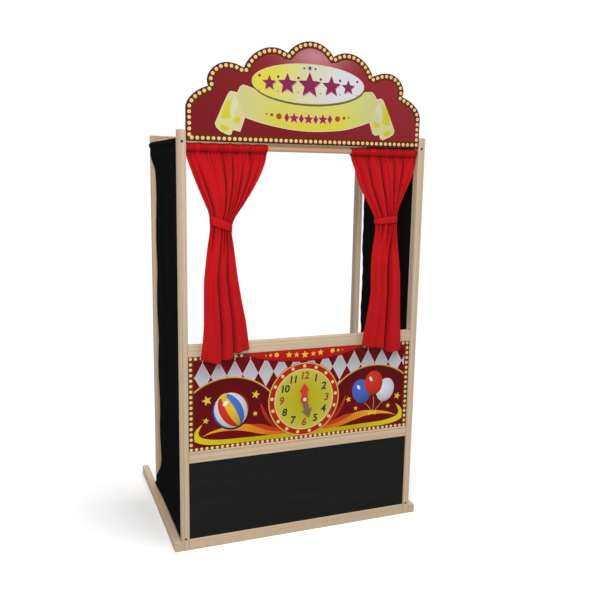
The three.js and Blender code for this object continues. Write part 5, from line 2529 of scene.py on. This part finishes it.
@dataclass
class SideDrape:
    """A black cloth side, hung by its casings between the two dowels."""

    side: Side
    finishes: Finishes
    trimmings: Trimmings
    thickness: float = 0.9
    clearance: float = 0.4
    top_pocket: float = 9.8
    base_pocket: float = 9.3
    seam: float = 15
    hang: float = 6.5
    flare: float = 7.0
    sag: float = 0.85
    fold_depth: float = 4.2
    thread_lift: float = 0.12
    stitch: Triple = (3.2, 0.5, 4.4)
    overlock_stitch: Triple = (2.4, 0.6, 3.4)
    columns: int = 110
    rows: int = 170

    def __post_init__(self) -> None:
        """Reads the places of the dowels and the posts."""
        top, base = (Box.of(f"side_dowel_{level}_{self.side.tag}") for level in ("top", "base"))
        self.x, self.top, self.base = top.centre.x, top.centre.z, base.centre.z
        self.front = Box.of(f"front_post_{self.side.tag}").high.y + self.clearance
        self.back = Box.of(f"rear_post_{self.side.tag}").low.y - self.clearance
        self.name = f"side_drape_{self.side.tag}"

    def _rear(self, z: Array) -> Array:
        """How far back the cloth's rear edge comes at each height.

        Args:
            z: The heights.

        Returns:
            The edge's Y at each height.
        """
        table = np.array(DRAWS[self.side])
        fine = np.linspace(table[0, 0], table[-1, 0], 300)
        draws = smoothed(np.interp(fine, table[:, 0], table[:, 1]), 8, mode="edge")
        draw = np.interp(z, fine, draws)
        middle = np.clip(draw / 20, 0, 1)
        return self.back - draw + middle * (1.1 * np.sin(z / 7.3) + 0.9 * np.sin(z / 17 + 1))

    def _outward(self, s: Array, z: Array) -> Array:
        """How far the cloth stands outward near its casings, most of all at its rear corners.

        Args:
            s: Each point's share of the cloth's width.
            z: Its height.

        Returns:
            How far out each point is.
        """
        low, high = eased(self.base + 16, self.base + 75, z), eased(self.top - 75, self.top - 20, z)
        near = np.maximum(high, 1 - low)
        return near * (self.hang - 1.5) + 1.5 + near * self.flare * s**3

    def _fall(self, across: Array) -> Array:
        """The hanging part's points, from the upper seam to the lower.

        Args:
            across: Each column's share of the cloth's width.

        Returns:
            The points, row by row.
        """
        high, low = self.top - self.seam, self.base + self.seam
        s, t = np.meshgrid(across, np.linspace(0, 1, self.rows))
        z = high + (low - high) * t
        full = 1 - np.abs(2 * t - 1) ** 4
        phase = 0.6 if self.side is Side.LEFT else 2.4
        y = self.front + (self._rear(z) - self.front) * s
        warp = s + 0.02 * np.sin(t * 5 + s * 7 + phase)
        swing = self.fold_depth * (0.35 + 0.65 * s)
        fold = np.cos(TURN * 3 * warp + phase) * 0.6 + np.cos(TURN * 5.3 * warp - phase) * 0.3
        edge = eased(0.8, 1.0, s) * np.sin(t * 31 + phase) * 0.3
        pucker = np.exp(-((1 - np.abs(2 * t - 1)) / 0.06)) * np.cos(TURN * 17 * s + phase) * 0.8
        out = self._outward(s, z) - 2.5 * full * (1 - s)
        x = self.x + self.side.value * (out + full * swing * (fold + edge)) + pucker
        return np.stack([x, y, z], axis=2)

    def _casing(self, across: Array, end: Array, upward: bool) -> Array:
        """The pocket round a dowel.

        Args:
            across: Each column's share of the width.
            end: The fall's end row, which the pocket meets at its seam.
            upward: Whether it is the upper pocket.

        Returns:
            Its rows, from the seam inside the fall, round the dowel, to the seam outside.
        """
        radius, power = (self.top_pocket, 1.0) if upward else (self.base_pocket, 0.62)
        outer = (end[:, 0] - self.x) * self.side.value
        ripple = 0.7 * (0.5 + 0.5 * np.cos(TURN * 17 * across))
        lean = self.flare * across**3
        inner = np.minimum(outer - lean, self.hang) - self.thickness * 1.2
        steps: list[tuple[Array, Array | float]] = []
        for share in (0.0, 0.35, 0.7):
            steps.append((inner + (0.3 - inner) * share, -self.seam + (self.seam - radius) * share))
        for k in range(18):
            angle = 1.5 * math.pi * k / 17
            sine, cosine = math.sin(angle), math.cos(angle)
            out = -(radius + ripple * max(0.0, sine)) * math.copysign(abs(sine) ** power, sine)
            free = max(0.0, -cosine)
            full = 1 + free * (PUFFS[self.side] * across**0.8 if upward else self.sag)
            height = -(radius + ripple * free * 0.6) * math.copysign(abs(cosine) ** power, cosine)
            steps.append((out, height * full))
        for share in (0.3, 0.6, 0.85):
            steps.append((radius + (outer - lean - radius) * share, -self.seam * share))
        y = self.front + (self.back - self.front) * across
        rows = []
        for outward, height in steps:
            z = (self.top + height if upward else self.base - height) + np.zeros_like(y)
            free = 1.0 if upward else eased(25.8, 30.5, z)
            x = self.x + self.side.value * (outward + lean * free * np.clip(outward / radius, 0, 1))
            rows.append(np.stack([x, y, z], axis=1))
        return np.array(rows)

    def build(self) -> None:
        """Builds the cloth side and its stitching."""
        across = np.linspace(0, 1, self.columns)
        fall = self._fall(across)
        upper, lower = self._casing(across, fall[0], True), self._casing(across, fall[-1], False)
        points = np.concatenate([upper, fall, lower[::-1]])
        if self.side is Side.RIGHT:
            points = points[:, ::-1]
        width = self.back - self.front
        flat_map, length = laid_flat(points, across, width)
        black = self.finishes.black_cloth
        drape = cloth_piece(f"{self.name}_cloth", points, flat_map, self.thickness, black)
        settle(drape, "frame", [self.name])
        self._stitches(fall)
        self._overlock(fall)
        LOG.info("%s: flat %.0f by %.0f mm", self.name, width, length)

    def _stitches(self, fall: Array) -> Item:
        """Sews the two casing seams and the front hem, on the outside.

        Args:
            fall: The hanging part's points.

        Returns:
            The stitches.
        """
        out = np.array([self.side.value * (self.thickness / 2 + self.thread_lift), 0, 0])
        lines = [line + out for line in (fall[1], fall[-2], fall[2:-2, 3])]
        thread = self.finishes.black_thread
        stitches = self.trimmings.sewn(f"{self.name}_stitches", lines, self.stitch, thread)
        return settle(stitches, "frame")

    def _overlock(self, fall: Array) -> Item:
        """Oversews the rear edge with pale thread, loop by loop round the edge.

        Args:
            fall: The hanging part's points.

        Returns:
            The thread.
        """
        edge = fall[2:-2, -1]
        way = edge - fall[2:-2, -3]
        way = way / np.linalg.norm(way, axis=1)[:, None]
        out = np.array([self.thickness / 2 + 0.15, 0, 0])
        lines = [edge + way * shift + out * lift for shift in (0.25, -1.4) for lift in (-1, 1)]
        thread = self.finishes.edge_thread
        stitches = self.trimmings.sewn(f"{self.name}_overlock", lines, self.overlock_stitch, thread)
        return settle(stitches, "frame")


# Studio


@dataclass
class Studio:
    """The pale floor, the soft light and the camera, in metres."""

    camera_place: Place = (-0.68875, -1.98679, 0.98436)
    camera_right: Place = (0.93331, -0.35864, 0.01770)
    camera_up: Place = (0.04646, 0.16949, 0.98444)
    lens: float = 43.114
    ambient: float = 0.32
    floor_white: float = 1.12
    floor_half: float = 30.0

    def build(self) -> None:
        """Sets up the studio."""
        bpy.context.scene.view_settings.view_transform = "Standard"
        self._camera()
        self._floor()
        self._world()
        self._lamp("key", "SUN", (0.15, -0.24, 0.95), (0, 0, 0), energy=1.9, angle=math.radians(48))
        self._lamp("fill", "AREA", (-1.0, -2.25, 2.0), (0, -0.26, 0.75), energy=29.5, size=1.0)

    def _camera(self) -> None:
        """Sets the camera as the photograph was taken."""
        data = bpy.data.cameras.new("camera")
        data.lens, data.sensor_width, data.sensor_fit = self.lens, 36, "HORIZONTAL"
        data.clip_start, data.clip_end = 0.05, 200
        camera = bpy.data.objects.new("camera", data)
        bpy.context.scene.collection.objects.link(camera)
        right, up = Vector(self.camera_right), Vector(self.camera_up)
        axes = Matrix((right, up, right.cross(up))).transposed()
        camera.matrix_world = Matrix.Translation(self.camera_place) @ axes.to_4x4()
        bpy.context.scene.camera = camera

    @staticmethod
    def _end(graph: Graph, kind: str, plain: dict, white: dict, output: str) -> None:
        """Ends a graph in two shaders, of which the camera sees the second, also by gloss or glass.

        Args:
            graph: The graph.
            kind: The shaders' type.
            plain: What the inputs of the shader that lights the object hold.
            white: What the inputs of the shader that the camera sees hold.
            output: The output node's type.
        """
        rays = graph.add("ShaderNodeLightPath").outputs
        straight, gloss, glass = (
            Value(graph, rays[f"Is {ray} Ray"]) for ray in ("Camera", "Glossy", "Transmission")
        )
        first, second = (graph.add(kind, sockets).outputs[0] for sockets in (plain, white))
        seen = (straight + gloss + glass).above(0, 1)
        shown = graph.add("ShaderNodeMixShader", {0: seen, 1: first, 2: second})
        graph.add(output, {0: shown.outputs[0]})

    def _floor(self) -> None:
        """Lays the pale floor, which the camera sees as white with the object's shadow on it."""
        material = bpy.data.materials.new("pale_floor")
        graph = Graph(material)
        speck = graph.noise(graph.place(), 3, 2)
        paint = graph.mixed(speck.above(0.2, 0.8), (0.5, 0.5, 0.51, 1), (0.52, 0.52, 0.52, 1))
        white = (*[self.floor_white] * 3, 1)
        self._end(graph, "ShaderNodeBsdfDiffuse", {0: paint}, {0: white}, "ShaderNodeOutputMaterial")
        half = self.floor_half / MM
        corners = [(x, y, 0) for x, y in block(-half, -half, half, half)]
        piece("floor", corners, [(0, 1, 2, 3)], [material], smooth=False)

    def _world(self) -> None:
        """Gives the world a plain level of light, and a white background for what is seen."""
        world = bpy.data.worlds.new("studio")
        bpy.context.scene.world = world
        light, white = ({0: (1, 1, 1, 1), 1: strength} for strength in (self.ambient, 1.0))
        self._end(Graph(world), "ShaderNodeBackground", light, white, "ShaderNodeOutputWorld")

    @staticmethod
    def _lamp(name: str, kind: str, place: Place, target: Place, **settings: float) -> None:
        """Adds a lamp.

        Args:
            name: Its name.
            kind: Its kind.
            place: Where it stands.
            target: The point that it faces.
            settings: Its power, and its size or how wide it looks.
        """
        data = bpy.data.lights.new(name, kind)
        for setting, value in settings.items():
            setattr(data, setting, value)
        lamp = bpy.data.objects.new(name, data)
        lamp.location = place
        lamp.rotation_euler = (Vector(place) - Vector(target)).to_track_quat("Z", "Y").to_euler()
        bpy.context.scene.collection.objects.link(lamp)


def main() -> None:
    """Builds the whole scene."""
    logging.basicConfig(level=logging.INFO, format="%(name)s: %(message)s")
    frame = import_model()
    Studio().build()
    finishes = Finishes()
    trimmings = Trimmings(finishes)
    timber = TimberFrame(finishes, frame["nodes"])
    timber.dress()
    timber.rods()
    Screws(finishes, trimmings).build()
    Sign(finishes, trimmings).build()
    ClockPanel(finishes, trimmings).build()
    ClockHands(finishes).build()
    for side in Side:
        Curtain(side, finishes, trimmings).build()
        SideDrape(side, finishes, trimmings).build()


if __name__ == "__main__":
    main()
